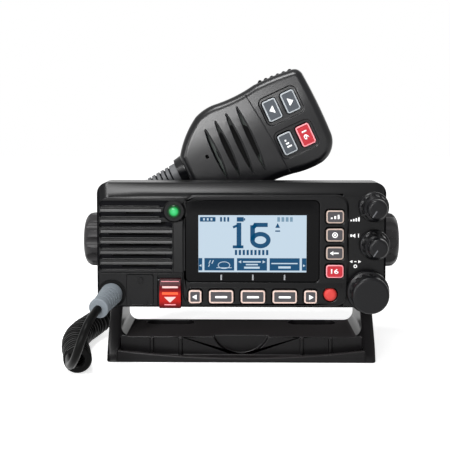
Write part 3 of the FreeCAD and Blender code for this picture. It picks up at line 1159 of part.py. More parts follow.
def make_mic_parts():
    collar = new_body("mic_collar")
    bore = "mic_boot_radius - 1"
    outer, length = "mic_collar_radius", "mic_collar_length"
    revolve(collar, [(bore, 0), (outer, 0), (outer, 0.6), (f"{outer} - 0.9", length), (bore, length)])
    spin_towards_neck(collar)
    boot = new_body("mic_boot")
    ribbed_boot(boot, "mic_boot_length", "mic_boot_radius", "mic_boot_tip + 0.4", 6, 3.3, 5)
    plug = new_sketch(boot, "XY", 0)
    circle(plug, 0, 0, "mic_boot_radius - 1.1")
    pad(boot, plug, "mic_collar_length - 0.1", reverse=True)
    spin_towards_neck(boot, "-mic_collar_length - 0.1")

    speaker = new_body("mic_speaker")
    rim, deep = "mic_speaker_radius", "mic_speaker_depth"
    revolve(speaker, [(0, 0.6), (9, 0.6), (f"{rim} - 1", 0), (rim, 0), (rim, 2), (8, f"{deep} - 3"),
                      (8, deep), (0, deep)])
    seat_in_mic(speaker, "mic_speaker_x", "mic_wall + 0.2", "mic_middle")
    capsule = new_body("mic_capsule")
    revolve(capsule, [(0, 0), ("capsule_radius", 0), ("capsule_radius", "capsule_depth"),
                      (0, "capsule_depth")])
    seat_in_mic(capsule, "mic_hole_x", "mic_wall + 0.2", "mic_hole_z")
    board = new_body("mic_board")
    sheet = new_sketch(board, "XZ", "mic_board_depth")
    rounded_rectangle(sheet, "mic_board_start", "mic_middle - mic_board_half", "mic_board_end",
                      "mic_middle + mic_board_half", 2)
    pad(board, sheet, "board_thick", reverse=True)
    on_mic(board)
    stud = new_body("mic_hang_stud")
    neck = "hang_neck_radius"
    button = "hang_button_radius"
    revolve(stud, [(0, -2.8), (1.9, -2.8), (1.9, 0), (5.5, 0), (5.5, 1.2), (neck, 1.2), (neck, 5.2),
                   (button, 5.2), (button, 7), (f"{button} - 1", 8), (0, 8)])
    seat_in_mic(stud, "hang_x", "mic_depth", "mic_middle")
    screws = []
    for number, (x, z) in enumerate(MIC_SCREW_SPOTS, start=1):
        head = cylinder(f"mic_screw_head_{number}", "Y", "mic_screw_head", 1.4, x,
                        "mic_depth - mic_screw_sink", z)
        shank = cylinder(f"mic_screw_shank_{number}", "Y", 1.2, 6.6, x, "mic_depth - 8", z)
        screws.append(fuse(f"mic_screw_{number}", [head, shank]))
    on_mic(group("mic_screws", screws))


def seat_in_mic(body, along, depth, across):
    """Place a turned piece in the microphone, its axis front to back."""
    lean = FreeCAD.Rotation(Vector(0, 1, 0), -value("mic_lean"))
    spot = lean.multVec(Vector(value(along), value(depth), value(across)))
    turn = lean.multiply(FreeCAD.Rotation(Vector(1, 0, 0), -90))
    node(place(body, f"mic_x + {spot.x}", f"mic_y + {spot.y}", f"mic_z + {spot.z}", turn))


def spin_towards_neck(body, along="0"):
    """Place a turned piece on the neck, its axis pointing out along the cord."""
    lean = FreeCAD.Rotation(Vector(0, 1, 0), -value("mic_lean"))
    spot = lean.multVec(Vector(value(along), value("mic_depth / 2"), value("mic_middle + 1")))
    turn = lean.multiply(FreeCAD.Rotation(Vector(0, 1, 0), -90))
    node(place(body, f"mic_x + {spot.x}", f"mic_y + {spot.y}", f"mic_z + {spot.z}", turn))


# ---------------------------------------------------------------- curly cord

# The cord's route, as points in the part's frame: plain cable at each end, and the coil between them.
LEAD_ROUTE = [(-85.2, -97.1, 43.4), (-87.7, -108.6, 41), (-90.8, -117.5, 32.5), (-95, -117, 20),
              (-99.6, -107.5, 11.8), (-103, -96, 10), (-104.3, -86, 11.8)]
COIL_ROUTE = [(-99.5, -86, 9.7), (-102.5, -70, 9.7), (-107.5, -50, 9.6), (-110.4, -28, 9.6), (-109, -6, 9.6),
              (-104.5, 14, 9.9), (-96.5, 29, 14.8), (-89.6, 36, 30), (-88, 36, 50), (-88.6, 32.5, 70),
              (-89.3, 24, 90.5)]
TAIL_ROUTE = [(-89.3, 24, 90.5), (-89.6, 16, 97), (-89.3, 6, 99.8), (-87.5, -3.5, 101), (-83, -11.5, 102.9),
              (-75.6, -15.5, 105.8), (-67.4, -15.5, 109.6)]


def tube(label, route, radius):
    """A round tube along straight runs joined by tangent arcs, each as large as its two runs allow."""
    points = [Vector(*spot) for spot in route]
    edges, radii = [], []
    start = points[0]
    for before, corner, after in zip(points, points[1:], points[2:]):
        arriving, leaving = (corner - before), (after - corner)
        shorter = min(arriving.Length, leaving.Length)
        half_turn = arriving.getAngle(leaving) / 2
        trim = 0.45 * shorter
        radii.append(trim / math.tan(half_turn))
        arriving.normalize()
        leaving.normalize()
        first, last = corner - arriving * trim, corner + leaving * trim
        centre_way = (leaving - arriving).normalize()
        middle = corner + centre_way * (radii[-1] / math.cos(half_turn) - radii[-1])
        edges.append(Part.LineSegment(start, first).toShape())
        edges.append(Part.Arc(first, middle, last).toShape())
        start = last
    edges.append(Part.LineSegment(start, points[-1]).toShape())
    path = Part.Wire(edges)
    ring = Part.Wire(Part.Circle(points[0], points[1] - points[0], value(radius)).toShape())
    shape = path.makePipeShell([ring], True, False)
    expected = math.pi * value(radius) ** 2 * path.Length
    if abs(shape.Volume / expected - 1) > 0.01:
        raise RuntimeError(f"{label} has {shape.Volume:.0f} mm3 and should have {expected:.0f}")
    print(f"{label}: {path.Length:.0f} mm long, radii {[round(item, 1) for item in radii]}")
    cord = doc.addObject("Part::Feature", label)
    cord.Label = label
    cord.Shape = shape
    return node(cord)


# ---------------------------------------------------------------- build, check and write

make_bracket()
make_clamp("left")
make_clamp("right")
make_washers()
make_front_panel()
make_display_bezel()
make_display()
make_lamp()
make_keys()
make_speaker()
make_distress()
make_port_cover()
make_cord_exit()
make_knobs()
make_pots()
make_boards()
make_chassis()
make_gasket()
make_chassis_screws()
make_rear_parts()
make_mic_shells()
make_mic_keys()
make_ptt()
make_mic_parts()
tube("cord_lead", LEAD_ROUTE, "cable_radius")
tube("cord_coil", COIL_ROUTE, "coil_radius")
tube("cord_tail", TAIL_ROUTE, "cable_radius")
doc.recompute()

for item in doc.Objects:
    if {"Invalid", "Error"} & set(item.State):
        raise RuntimeError(f"{item.Name} failed: {item.State}")
os.makedirs("parts", exist_ok=True)
for piece in NODES:
    if piece.Shape.isNull() or not piece.Shape.isValid():
        raise RuntimeError(f"{piece.Label} is not a valid shape")
    piece.Shape.exportStep(f"parts/{piece.Label}.step")
print(f"{len(NODES)} nodes written")
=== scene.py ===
# %% [markdown]
# # Dressing a marine radio
#
# The radio's solids come from a CAD model: every piece at its real size, in its real place. This script is
# the other half of the work. It gives each piece the soft edges, prints and finishes that make moulded
# plastic look like moulded plastic. Each step first says what the thing is and how it could be made, and
# then makes it.

# %% Load the frame
import json
import math

import bmesh
import bpy
from mathutils import Matrix, Vector


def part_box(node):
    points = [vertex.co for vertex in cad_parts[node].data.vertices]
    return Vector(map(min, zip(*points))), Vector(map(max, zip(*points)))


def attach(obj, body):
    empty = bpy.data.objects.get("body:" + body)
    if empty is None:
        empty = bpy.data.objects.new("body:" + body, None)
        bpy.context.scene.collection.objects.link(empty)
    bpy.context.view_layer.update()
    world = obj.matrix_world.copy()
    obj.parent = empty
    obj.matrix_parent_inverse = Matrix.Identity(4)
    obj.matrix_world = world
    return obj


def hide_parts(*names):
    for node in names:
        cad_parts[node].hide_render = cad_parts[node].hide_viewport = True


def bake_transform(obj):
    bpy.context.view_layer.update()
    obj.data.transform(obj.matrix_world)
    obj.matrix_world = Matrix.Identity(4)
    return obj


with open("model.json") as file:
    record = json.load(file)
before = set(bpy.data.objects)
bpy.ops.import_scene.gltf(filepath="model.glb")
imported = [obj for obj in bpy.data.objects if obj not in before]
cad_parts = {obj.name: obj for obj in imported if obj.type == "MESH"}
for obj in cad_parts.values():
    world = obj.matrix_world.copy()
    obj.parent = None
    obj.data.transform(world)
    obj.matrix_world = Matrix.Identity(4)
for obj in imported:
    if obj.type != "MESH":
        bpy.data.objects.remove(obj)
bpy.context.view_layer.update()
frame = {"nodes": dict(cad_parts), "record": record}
MM = 0.001
scene = bpy.context.scene

# %% [markdown]
# ## The camera
#
# A product picture of a small object is taken with a long lens from a little above. The camera stands 65 cm
# in front of the mounting line and looks down by a few degrees. A small shift of the lens, as a view camera
# has, keeps upright edges upright.

# %% The camera
FRAME_PIXELS = 450
FOCAL_PIXELS = 944.5
SENSOR_MM = 36
CAMERA_PLACE_MM = Vector((-0.9, -651.3, 157.8))
CAMERA_TILT_DEG = 3.55
CAMERA_TURN_DEG = 0.90
CAMERA_SHIFT_PIXELS = -50

lens = bpy.data.cameras.new("camera")
lens.sensor_width = SENSOR_MM
lens.lens = FOCAL_PIXELS * SENSOR_MM / FRAME_PIXELS
lens.shift_y = CAMERA_SHIFT_PIXELS / FRAME_PIXELS
lens.clip_start = 10 * MM
camera = bpy.data.objects.new("camera", lens)
camera.location = CAMERA_PLACE_MM * MM
camera.rotation_euler = (math.radians(90 - CAMERA_TILT_DEG), 0, math.radians(CAMERA_TURN_DEG))
scene.collection.objects.link(camera)
scene.camera = camera
scene.view_settings.view_transform = "Standard"
print(f"lens {lens.lens:.1f} mm")

# %% [markdown]
# ## Cords
#
# A curly cord is a plain cable that was wound on a rod and heated, so that it keeps the turns. It has three
# stretches: a straight lead from the set, the curls, and a straight tail to the microphone. Each follows a
# route of given points, as a smooth NURBS line that is pulled towards them.

# %% Routes, in millimetres
CABLE_RADIUS = 2.5
CURL_RADIUS = 6.5
CURL_PITCH = 5.2
POINTS_PER_TURN = 14

LEAD_ROUTE = [(-85.2, -97.1, 43.4), (-87.7, -108.6, 41), (-90.8, -117.5, 32.5), (-95, -117, 20),
              (-99.6, -107.5, 11.8), (-103, -96, 10), (-104.3, -86, 11.8)]
COIL_ROUTE = [(-99.5, -86, 9.7), (-102.5, -70, 9.7), (-107.5, -50, 9.6), (-110.4, -28, 9.6), (-109, -6, 9.6),
              (-104.5, 14, 9.9), (-96.5, 29, 14.8), (-89.6, 36, 30), (-88, 36, 50), (-88.6, 32.5, 70),
              (-89.3, 24, 90.5)]
TAIL_ROUTE = [(-89.3, 24, 90.5), (-89.6, 16, 97), (-89.3, 6, 99.8), (-87.5, -3.5, 101), (-83, -11.5, 102.9),
              (-75.6, -15.5, 105.8), (-67.4, -15.5, 109.6)]


def smooth_curve(name, route, bevel=0, steps=12):
    """A curve object with one open NURBS spline that the points of a route pull into shape."""
    curve = bpy.data.curves.new(name, "CURVE")
    curve.dimensions = "3D"
    curve.resolution_u = steps
    curve.bevel_depth = bevel * MM
    curve.bevel_resolution = 3
    curve.use_fill_caps = bevel > 0
    spline = curve.splines.new("NURBS")
    spline.points.add(len(route) - 1)
    for point, spot in zip(spline.points, route):
        point.co = (*(Vector(spot) * MM), 1)
    spline.order_u = 3
    spline.use_endpoint_u = True
    made = bpy.data.objects.new(name, curve)
    scene.collection.objects.link(made)
    return made


def line_points(route, steps=24):
    """The points that the NURBS line of a route passes through, in millimetres."""
    probe = smooth_curve("probe", route, steps=steps)
    mesh = bpy.data.meshes.new_from_object(probe)
    points = [vertex.co / MM for vertex in mesh.vertices]
    bpy.data.objects.remove(probe)
    bpy.data.meshes.remove(mesh)
    return points


def length_of(points):
    return sum((b - a).length for a, b in zip(points, points[1:]))


# %% [markdown]
# ## Working habits
#
# Blender's operators act on whatever is selected, and the imported solids start out selected. So one helper
# clears the selection, one does so and adds a primitive, and another picks faces, edges or corners by a
# rule, as a modeller clicks on them.

# %% Helpers for modelling
def only(*objects):
    """Select these objects and nothing else."""
    bpy.ops.object.select_all(action="DESELECT")
    for item in objects:
        item.select_set(True)
    bpy.context.view_layer.objects.active = objects[0]


def edit(piece, mode="FACE"):
    only(piece)
    bpy.ops.object.mode_set(mode="EDIT")
    bpy.ops.mesh.select_mode(type=mode)
    bpy.ops.mesh.select_all(action="DESELECT")


def done():
    bpy.ops.object.mode_set(mode="OBJECT")


def pick(kind, rule):
    """In edit mode, select the faces, edges or verts that a rule is true for."""
    mesh = bmesh.from_edit_mesh(bpy.context.object.data)
    for item in getattr(mesh, kind):
        item.select_set(rule(item))
    mesh.select_flush_mode()
    bmesh.update_edit_mesh(bpy.context.object.data)


def settle(piece):
    """Move an object's place, turn and size into its mesh."""
    only(piece)
    bpy.ops.object.transform_apply(location=True, rotation=True, scale=True)
    return piece


def as_mesh(piece):
    only(piece)
    bpy.ops.object.convert(target="MESH")
    return bpy.context.object


def fresh(primitive, **settings):
    """Add a primitive with nothing else selected."""
    bpy.ops.object.select_all(action="DESELECT")
    primitive(**settings)
    return bpy.context.object


# %% A winding line
def helix_points(centre, radius, pitch, start_turn):
    """Points that wind round a line, carried along it so that the winding does not twist."""
    spacing = pitch / POINTS_PER_TURN
    step = math.tau / POINTS_PER_TURN
    forward = (centre[1] - centre[0]).normalized()
    side = forward.cross(Vector((0, 0, 1))).normalized()
    side = Matrix.Rotation(start_turn, 3, forward) @ side
    points, walked, wanted, turn = [], 0, 0, 0
    for start, end in zip(centre, centre[1:]):
        run = end - start
        side = (side - side.project(run)).normalized()
        across = run.normalized().cross(side)
        while wanted <= walked + run.length:
            middle = start + run * ((wanted - walked) / run.length)
            points.append(middle + (side * math.cos(turn) + across * math.sin(turn)) * radius)
            turn += step
            wanted += spacing
        walked += run.length
    return points


# %% The three stretches of cord
FIRST_TURN_DEG = 220
COIL_STEPS, STRAIGHT_STEPS = 3, 12

coil_points = helix_points(line_points(COIL_ROUTE), CURL_RADIUS, CURL_PITCH, math.radians(FIRST_TURN_DEG))
stretches = {
    "cord_lead": (LEAD_ROUTE, line_points(LEAD_ROUTE)),
    "cord_coil": (coil_points, line_points(coil_points, steps=COIL_STEPS)),
    "cord_tail": (TAIL_ROUTE, line_points(TAIL_ROUTE)),
}
cord_pieces = {}
for name, (route, line) in stretches.items():
    steps = COIL_STEPS if name == "cord_coil" else STRAIGHT_STEPS
    cord_pieces[name] = as_mesh(smooth_curve(f"{name}_jacket", route, CABLE_RADIUS, steps))
    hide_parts(name)
    print(f"{name}: {length_of(line):.0f} mm, {len(cord_pieces[name].data.polygons)} faces")

# %% What the cord hangs between
# Each stretch is listed with the bodies at its start and end and two places in millimetres, which nothing
# here uses. Its mesh is baked where it lies.
for name, bodies, start, end in (
    ("cord_lead", ("radio", "base"), (-85, -100, 42), (-103, -92, 15)),
    ("cord_coil", ("base", "radio"), (-96, 30, 14), (-89, 30, 80)),
    ("cord_tail", ("radio", "microphone"), (-89, 20, 93), (-70, -15, 108)),
):
    route, line = stretches[name]
    places = [Vector(spot) * MM for spot in line]
    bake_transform(cord_pieces[name])

# %% [markdown]
# ## Colours and surfaces
#
# Every finish here is a Principled shader with at most one bump pattern. Colours are written as the hex
# values that a paint programme shows, and one function turns them to the linear light that Blender works
# in. The grain of moulded plastic comes from spark erosion of the mould. A real one is about a tenth of a
# millimetre wide and would be too fine to show, so each grain here is drawn at 0.4 mm or more.

# %% Colour and node helpers
def linear(code):
    """A hex colour turned from sRGB to linear light."""
    shares = [int(code[start:start + 2], 16) / 255 for start in (1, 3, 5)]
    return (*(share / 12.92 if share <= 0.04045 else ((share + 0.055) / 1.055) ** 2.4 for share in shares), 1)


def add(tree, kind, inputs, **settings):
    """Add a node. Each input is a value, or the output socket of another node that feeds it."""
    node = tree.nodes.new(kind)
    for name, setting in settings.items():
        setattr(node, name, setting)
    for name, source in inputs.items():
        if isinstance(source, bpy.types.NodeSocket):
            tree.links.new(source, node.inputs[name])
        else:
            node.inputs[name].default_value = source
    return node


def surface(name, colour, roughness, grain_mm=0, grain_height_mm=0.02, **sockets):
    """A Principled material, with a fine grain when a grain width is given."""
    material = bpy.data.materials.new(name)
    material.use_nodes = True
    tree = material.node_tree
    shader = tree.nodes["Principled BSDF"]
    shader.inputs["Base Color"].default_value = linear(colour)
    shader.inputs["Roughness"].default_value = roughness
    for socket, setting in sockets.items():
        shader.inputs[socket.replace("_", " ")].default_value = setting
    if grain_mm:
        places = add(tree, "ShaderNodeTexCoord", {})
        grain = add(tree, "ShaderNodeTexNoise", {
            "Vector": places.outputs["Object"], "Scale": 1 / (grain_mm * MM), "Detail": 2, "Roughness": 0.5})
        bump = add(tree, "ShaderNodeBump", {
            "Height": grain.outputs["Fac"], "Distance": grain_height_mm * MM, "Strength": 0.6})
        tree.links.new(bump.outputs["Normal"], shader.inputs["Normal"])
    return material


# %% Plastics
# Glass-filled ABS from a spark-eroded mould: nearly black, and its fine grain spreads each highlight wide.
abs_black = surface("abs_spark_eroded_black", "#0a0a0b", 0.28, 0.7, 0.012, Specular_IOR_Level=0.15)
# The same ABS from a finer mould: the display's surround shines a little more.
abs_satin = surface("abs_satin_black", "#0b0b0c", 0.27, 0.5, 0.01, Specular_IOR_Level=0.14)
# Glass-filled nylon: tougher and duller, as on brackets and clamp knobs.
nylon_black = surface("nylon_glass_filled_black", "#121112", 0.3, 0.8, 0.01, Specular_IOR_Level=0.13)
# The bracket's faces that look straight up are painted a lighter grey than the rest, as painted light on the
# foot's top, and have no shine at all.
nylon_painted_top_light = surface("nylon_glass_filled_painted_top_light", "#4a4748", 0.9, 0.8, Specular_IOR_Level=0)
# The clamp knobs are of the same nylon in a greyer batch.
nylon_grey = surface("nylon_clamp_grey", "#2a292a", 0.35, 0.8, 0.012, Specular_IOR_Level=0.15)
# In the grooves of the louvre and on the side walls the same ABS gets painted shade: a finish with no shine
# at all, which keeps them dark.
abs_painted_shade = surface("abs_black_painted_shade", "#151517", 0.95, Specular_IOR_Level=0)
# Soft-touch ABS of the knobs: a greyer black with a broad sheen.
abs_knob = surface("abs_soft_touch_knob", "#0c0c0e", 0.28, 0.5, 0.01, Specular_IOR_Level=0.16)
# Polycarbonate-ABS blend of a hand microphone: even, dark and slightly blue.
pc_abs_mic = surface("pc_abs_microphone", "#060608", 0.28, 0.6, 0.01, Specular_IOR_Level=0.3)
# Extruded polyurethane jacket of a curly cord: smooth and black, with a broad soft highlight along each turn.
polyurethane_jacket = surface("polyurethane_jacket_black", "#0b0b0b", 0.34, Specular_IOR_Level=0.05)
# Polycarbonate tinted red, as on a cover that has to be seen through: a deep colour under a soft shine.
polycarbonate_red = surface("polycarbonate_cover_red", "#a3131a", 0.3, Specular_IOR_Level=0.06)
# Acrylic window printed black from behind: a mirror-smooth black.
acrylic_black = surface("acrylic_window_back_printed", "#030304", 0.08, Specular_IOR_Level=0.08)

# %% Rubbers
# EPDM, the weatherproof rubber of glands and washers: black with hardly any shine.
epdm_black = surface("epdm_rubber_black", "#0c0c0c", 0.75, 0.6, Specular_IOR_Level=0.1)
# PVC strain relief: a soft blue-grey with a dull bloom on it.
pvc_light_grey = surface("pvc_strain_relief_light_grey", "#70777d", 0.55, 0.6, Specular_IOR_Level=0.3)
pvc_dark_grey = surface("pvc_strain_relief_dark_grey", "#58595b", 0.5, 0.6, Specular_IOR_Level=0.3)
# The floors of the grooves between its rings are painted darker, as painted shade.
pvc_shade = surface("pvc_strain_relief_groove", "#1b1d1f", 0.8, Specular_IOR_Level=0)


def keypad(name, colour, roughness=0.5, level=0.25):
    """Silicone rubber, or the paint on it, which takes the rubber's fine grain."""
    return surface(name, colour, roughness, 0.4, 0.01, Specular_IOR_Level=level)


# Silicone keypad: matt, and its pale borders are paint that a laser has laid bare.
silicone_black = keypad("silicone_keypad_black", "#121213", 0.55, 0.2)
silicone_grey = keypad("silicone_keypad_grey", "#3b393c", 0.55)
silicone_slate = keypad("silicone_keypad_slate", "#3c4147")
silicone_red = keypad("silicone_keypad_red", "#a61f2b")
silicone_coral = keypad("silicone_keypad_coral", "#b93733")
paint_cream = keypad("laser_etched_paint_cream", "#cbb3a9")
paint_tan = keypad("laser_etched_paint_tan", "#a8968c")
paint_rose = keypad("laser_etched_paint_rose", "#de8d94")
paint_silver = keypad("laser_etched_paint_silver", "#9ba0a4")


# %% Inks
def printed(name, colour, level=0.2):
    """Ink or paint on a smooth surface: an even film with a dull shine."""
    return surface(name, colour, 0.5, Specular_IOR_Level=level)


ink_white = printed("screen_print_ink_white", "#f0f0f0")
ink_dim = printed("screen_print_ink_grey", "#8b8d90")
# The knobs' pointers are grooves. The light grey line in each is a painted highlight along the groove.
pointer_painted_highlight = printed("pointer_painted_highlight_grey", "#56575a")
# These two go on the red cover and are a little glossier. The orange one is a painted highlight, a band of
# light across the cover.
orange_painted_highlight = printed("painted_highlight_orange", "#d9502a", 0.25)
paint_rose_light = printed("laser_etched_paint_pale_rose", "#d9b0ad", 0.25)

# %% Metals and boards
# Bright nickel over brass, as on an antenna socket: a warm mirror.
nickel_plate = surface("nickel_plate_bright", "#d2d0ca", 0.18, Metallic=1)
# Tin-plated steel cans of the potentiometers: grey, and soft in what they reflect.
tin_plate = surface("tin_plated_steel_can", "#9a9a9c", 0.4, Metallic=1)
# Powder-coated die-cast aluminium: the coat hides the metal, with an orange-peel of about a millimetre.
powder_coat_black = surface("powder_coat_black", "#1a1a1b", 0.5, 1.1, 0.03, Specular_IOR_Level=0.4)
# Solder resist over copper on glass-fibre board: a dark green, half matt.
solder_resist_dark = surface("solder_resist_dark_green", "#0b2a1b", 0.4)
# Steel with a black oxide bath, as on screws that shouldn't catch the eye.
steel_blackened = surface("steel_black_oxide", "#3a3a3c", 0.42, Metallic=1)
# Pressed paper, as in a loudspeaker's cone: black and quite matt.
paper_cone_black = surface("paper_speaker_cone_black", "#101010", 0.9, 0.9, Specular_IOR_Level=0.1)
print(f"{len(bpy.data.materials)} materials so far")


# %% A lit display
def lit(name, colour, strength, body, level=0.1):
    """A smooth surface that gives off a colour of its own over the colour of its body."""
    material = surface(name, body, 0.2, Specular_IOR_Level=level)
    shader = material.node_tree.nodes["Principled BSDF"]
    shader.inputs["Emission Color"].default_value = linear(colour)
    shader.inputs["Emission Strength"].default_value = strength
    return material


def fade(material, socket, share, stops):
    """Let a colour of a material run through these stops while a share goes from 0 to 1."""
    tree = material.node_tree
    ramp = add(tree, "ShaderNodeValToRGB", {"Fac": share})
    while len(ramp.color_ramp.elements) < len(stops):
        ramp.color_ramp.elements.new(0.5)
    for element, (place, colour) in zip(ramp.color_ramp.elements, stops):
        element.position = place
        element.color = linear(colour)
    tree.links.new(ramp.outputs["Color"], tree.nodes["Principled BSDF"].inputs[socket])


# Liquid crystal in front of a white backlight: pale blue where clear, deep blue where dark.
lcd_clear = lit("liquid_crystal_clear", "#c9dceb", 0.95, "#101418")
lcd_dark = lit("liquid_crystal_dark", "#084a73", 0.9, "#05121b")
lcd_mid = lit("liquid_crystal_grey", "#7f9fb6", 0.9, "#0a1218")

# %% The lamp's lens
# Green polycarbonate over a lit diode: it glows round the lens's axis and falls off to a dark rim.
LAMP_PLACE_MM = Vector((-41.3, -74, 99.6))
GLOW_CORE_MM, GLOW_RIM_MM = 0.3, 4.2

lens_green = lit("polycarbonate_lens_green", "#1fb455", 0.8, "#04200c", 0.15)
tree = lens_green.node_tree
places = add(tree, "ShaderNodeTexCoord", {})
moved = add(tree, "ShaderNodeVectorMath", {
    0: places.outputs["Object"], 1: LAMP_PLACE_MM * MM}, operation="SUBTRACT")
flattened = add(tree, "ShaderNodeVectorMath", {0: moved.outputs[0], 1: (1, 0, 1)}, operation="MULTIPLY")
far = add(tree, "ShaderNodeVectorMath", {0: flattened.outputs[0]}, operation="LENGTH")
share = add(tree, "ShaderNodeMapRange", {
    "Value": far.outputs["Value"], "From Min": GLOW_CORE_MM * MM, "From Max": GLOW_RIM_MM * MM})
fade(lens_green, "Emission Color", share.outputs["Result"], [
    (0, "#5cf79c"), (0.4, "#35dd78"), (0.58, "#1fa850"), (0.7, "#0a3f1d"), (1, "#03160a")])
print(f"{len(bpy.data.materials)} materials with the lit ones")

# %% [markdown]
# ## Light and floor
#
# Black plastic is lit with big soft sources, because black shows little but what it reflects. The strongest
# panel stands far in front and fills the faces. One hangs above and in front, so that each upper edge
# catches a light line, a tall strip draws the left sides, and a weak one fills the back. The floor and the
# surroundings are white to the camera and in reflections, and the floor keeps a soft shadow.

# %% Lamps
def soft_panel(name, place, width, height, watts, aim=(0, -0.02, 0.07)):
    """A rectangular lamp that is aimed at a spot. All is in metres."""
    light = bpy.data.lights.new(name, "AREA")
    light.shape = "RECTANGLE"
    light.size, light.size_y = width, height
    light.energy = watts
    panel = bpy.data.objects.new(name, light)
    panel.location = Vector(place)
    panel.rotation_euler = (Vector(aim) - panel.location).to_track_quat("-Z", "Y").to_euler()
    panel.visible_camera = False
    scene.collection.objects.link(panel)


soft_panel("overhead_panel", (-0.16, -0.42, 0.8), 0.3, 0.2, 6)
soft_panel("front_panel_light", (-0.25, -1.2, 0.37), 0.35, 0.15, 9, (-0.02, -0.04, 0.14))
soft_panel("left_strip", (-0.78, -0.85, 0.24), 0.15, 0.4, 4)
soft_panel("back_fill", (0.6, 0.9, 0.7), 0.6, 0.6, 3)
print("watts:", {lamp.name: lamp.energy for lamp in bpy.data.lights})


# %% Surroundings
AMBIENT = 0.15


def seen_directly(tree):
    """1 for what the camera, a mirror or a pane of glass sees, and 0 for what only gives light."""
    path = add(tree, "ShaderNodeLightPath", {})
    seen = path.outputs["Is Camera Ray"]
    for also in ("Is Glossy Ray", "Is Transmission Ray"):
        either = add(tree, "ShaderNodeMath", {0: seen, 1: path.outputs[also]}, operation="MAXIMUM")
        seen = either.outputs["Value"]
    return seen


world = bpy.data.worlds.new("studio")
scene.world = world
world.use_nodes = True
tree = world.node_tree
white = tree.nodes["Background"]
white.inputs["Color"].default_value = (1, 1, 1, 1)
dim = add(tree, "ShaderNodeBackground", {"Color": (1, 1, 1, 1), "Strength": AMBIENT})
both = add(tree, "ShaderNodeMixShader", {0: seen_directly(tree), 1: dim.outputs[0], 2: white.outputs[0]})
tree.links.new(both.outputs[0], tree.nodes["World Output"].inputs["Surface"])

# %% Floor
# Matt white paper. To the camera its glow is a little weaker near the object, and full from a metre or so on.
NEAR, FAR, GLOW_NEAR = 0.1, 1.2, 0.72

floor = fresh(bpy.ops.mesh.primitive_plane_add, size=6, location=(0, 0, 0))
floor.name = "floor"
paper = surface("paper_sweep_white", "#e6e6e6", 0.9, Specular_IOR_Level=0)
floor.data.materials.append(paper)
tree = paper.node_tree
places = add(tree, "ShaderNodeTexCoord", {})
distance = add(tree, "ShaderNodeVectorMath", {0: places.outputs["Object"]}, operation="LENGTH")
shine = add(tree, "ShaderNodeMapRange", {
    "Value": distance.outputs["Value"], "From Min": NEAR, "From Max": FAR, "To Min": GLOW_NEAR, "To Max": 1})
seen_only = add(tree, "ShaderNodeMath", {
    0: seen_directly(tree), 1: shine.outputs["Result"]}, operation="MULTIPLY")
glow = add(tree, "ShaderNodeEmission", {"Color": (1, 1, 1, 1), "Strength": seen_only.outputs[0]})
total = add(tree, "ShaderNodeAddShader", {0: tree.nodes["Principled BSDF"].outputs[0], 1: glow.outputs[0]})
tree.links.new(total.outputs[0], tree.nodes["Material Output"].inputs["Surface"])
print(f"floor {floor.dimensions.x:.0f} m wide")

# %% [markdown]
# ## Moulded shells
#
# A mould has no perfectly sharp edge, and black plastic is read by the light lines along its rounded edges.
# So the big shells are copies of their solids: the loose triangles are joined, flat areas are made one face
# each, and a small bevel rounds every edge that turns by more than 30 degrees.

# %% Finishes for the solids
slot_of = {part["node"]: part["material_slot"] for part in frame["record"]["subparts"]}
body_of = {node: body for body, nodes in frame["record"]["behaviour"]["bodies"].items() for node in nodes}


def dress(piece, *materials):
    """Give a piece these materials and no others."""
    piece.data.materials.clear()
    for material in materials:
        piece.data.materials.append(material)


plain_finishes = {
    "moulded_plastic": abs_black, "bezel_plastic": abs_satin, "clamp_plastic": nylon_black,
    "knob_plastic": abs_knob, "window_glass": acrylic_black, "lcd": lcd_clear, "lamp_ring": abs_satin,
    "green_lens": lens_green, "steel": steel_blackened, "cast_metal": powder_coat_black,
    "black_rubber": epdm_black, "grey_rubber": pvc_light_grey, "circuit_board": solder_resist_dark,
    "component_metal": paper_cone_black, "plated_metal": nickel_plate, "grey_key": silicone_grey,
    "red_key": silicone_red, "red_cover": polycarbonate_red, "cord_jacket": polyurethane_jacket,
    "mic_plastic": pc_abs_mic}
for name, solid in frame["nodes"].items():
    dress(solid, plain_finishes[slot_of[name]])
for piece in cord_pieces.values():
    dress(piece, polyurethane_jacket)
for node in ("knob_pots", "dial_encoder"):
    dress(frame["nodes"][node], tin_plate)
dress(frame["nodes"]["mic_boot"], pvc_dark_grey)
print(len(frame["nodes"]), "solids dressed")


# %% A softened copy of a solid
SHARP_DEG, FLAT_DEG, WELD_MM = 30, 0.4, 0.002


def smooth(piece, turn_deg=SHARP_DEG):
    """Smooth shading up to an angle, with each normal taken mostly from the largest face beside it."""
    only(piece)
    bpy.ops.object.shade_smooth_by_angle(angle=math.radians(turn_deg))
    weighted = piece.modifiers.new("weighted", "WEIGHTED_NORMAL")
    weighted.keep_sharp = True
    bpy.ops.object.modifier_apply(modifier="weighted")
    return piece


def cut(place_mm, normal, **how):
    """In edit mode, cut the whole mesh along a plane."""
    bpy.ops.mesh.select_all(action="SELECT")
    bpy.ops.mesh.bisect(plane_co=Vector(place_mm) * MM, plane_no=normal, **how)


def area_of(piece):
    """The area of all faces, in edit mode."""
    return sum(face.calc_area() for face in bmesh.from_edit_mesh(piece.data).faces)


def stand_in(piece, node):
    """Show this piece instead of a CAD node, on the same body."""
    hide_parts(node)
    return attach(piece, body_of[node])


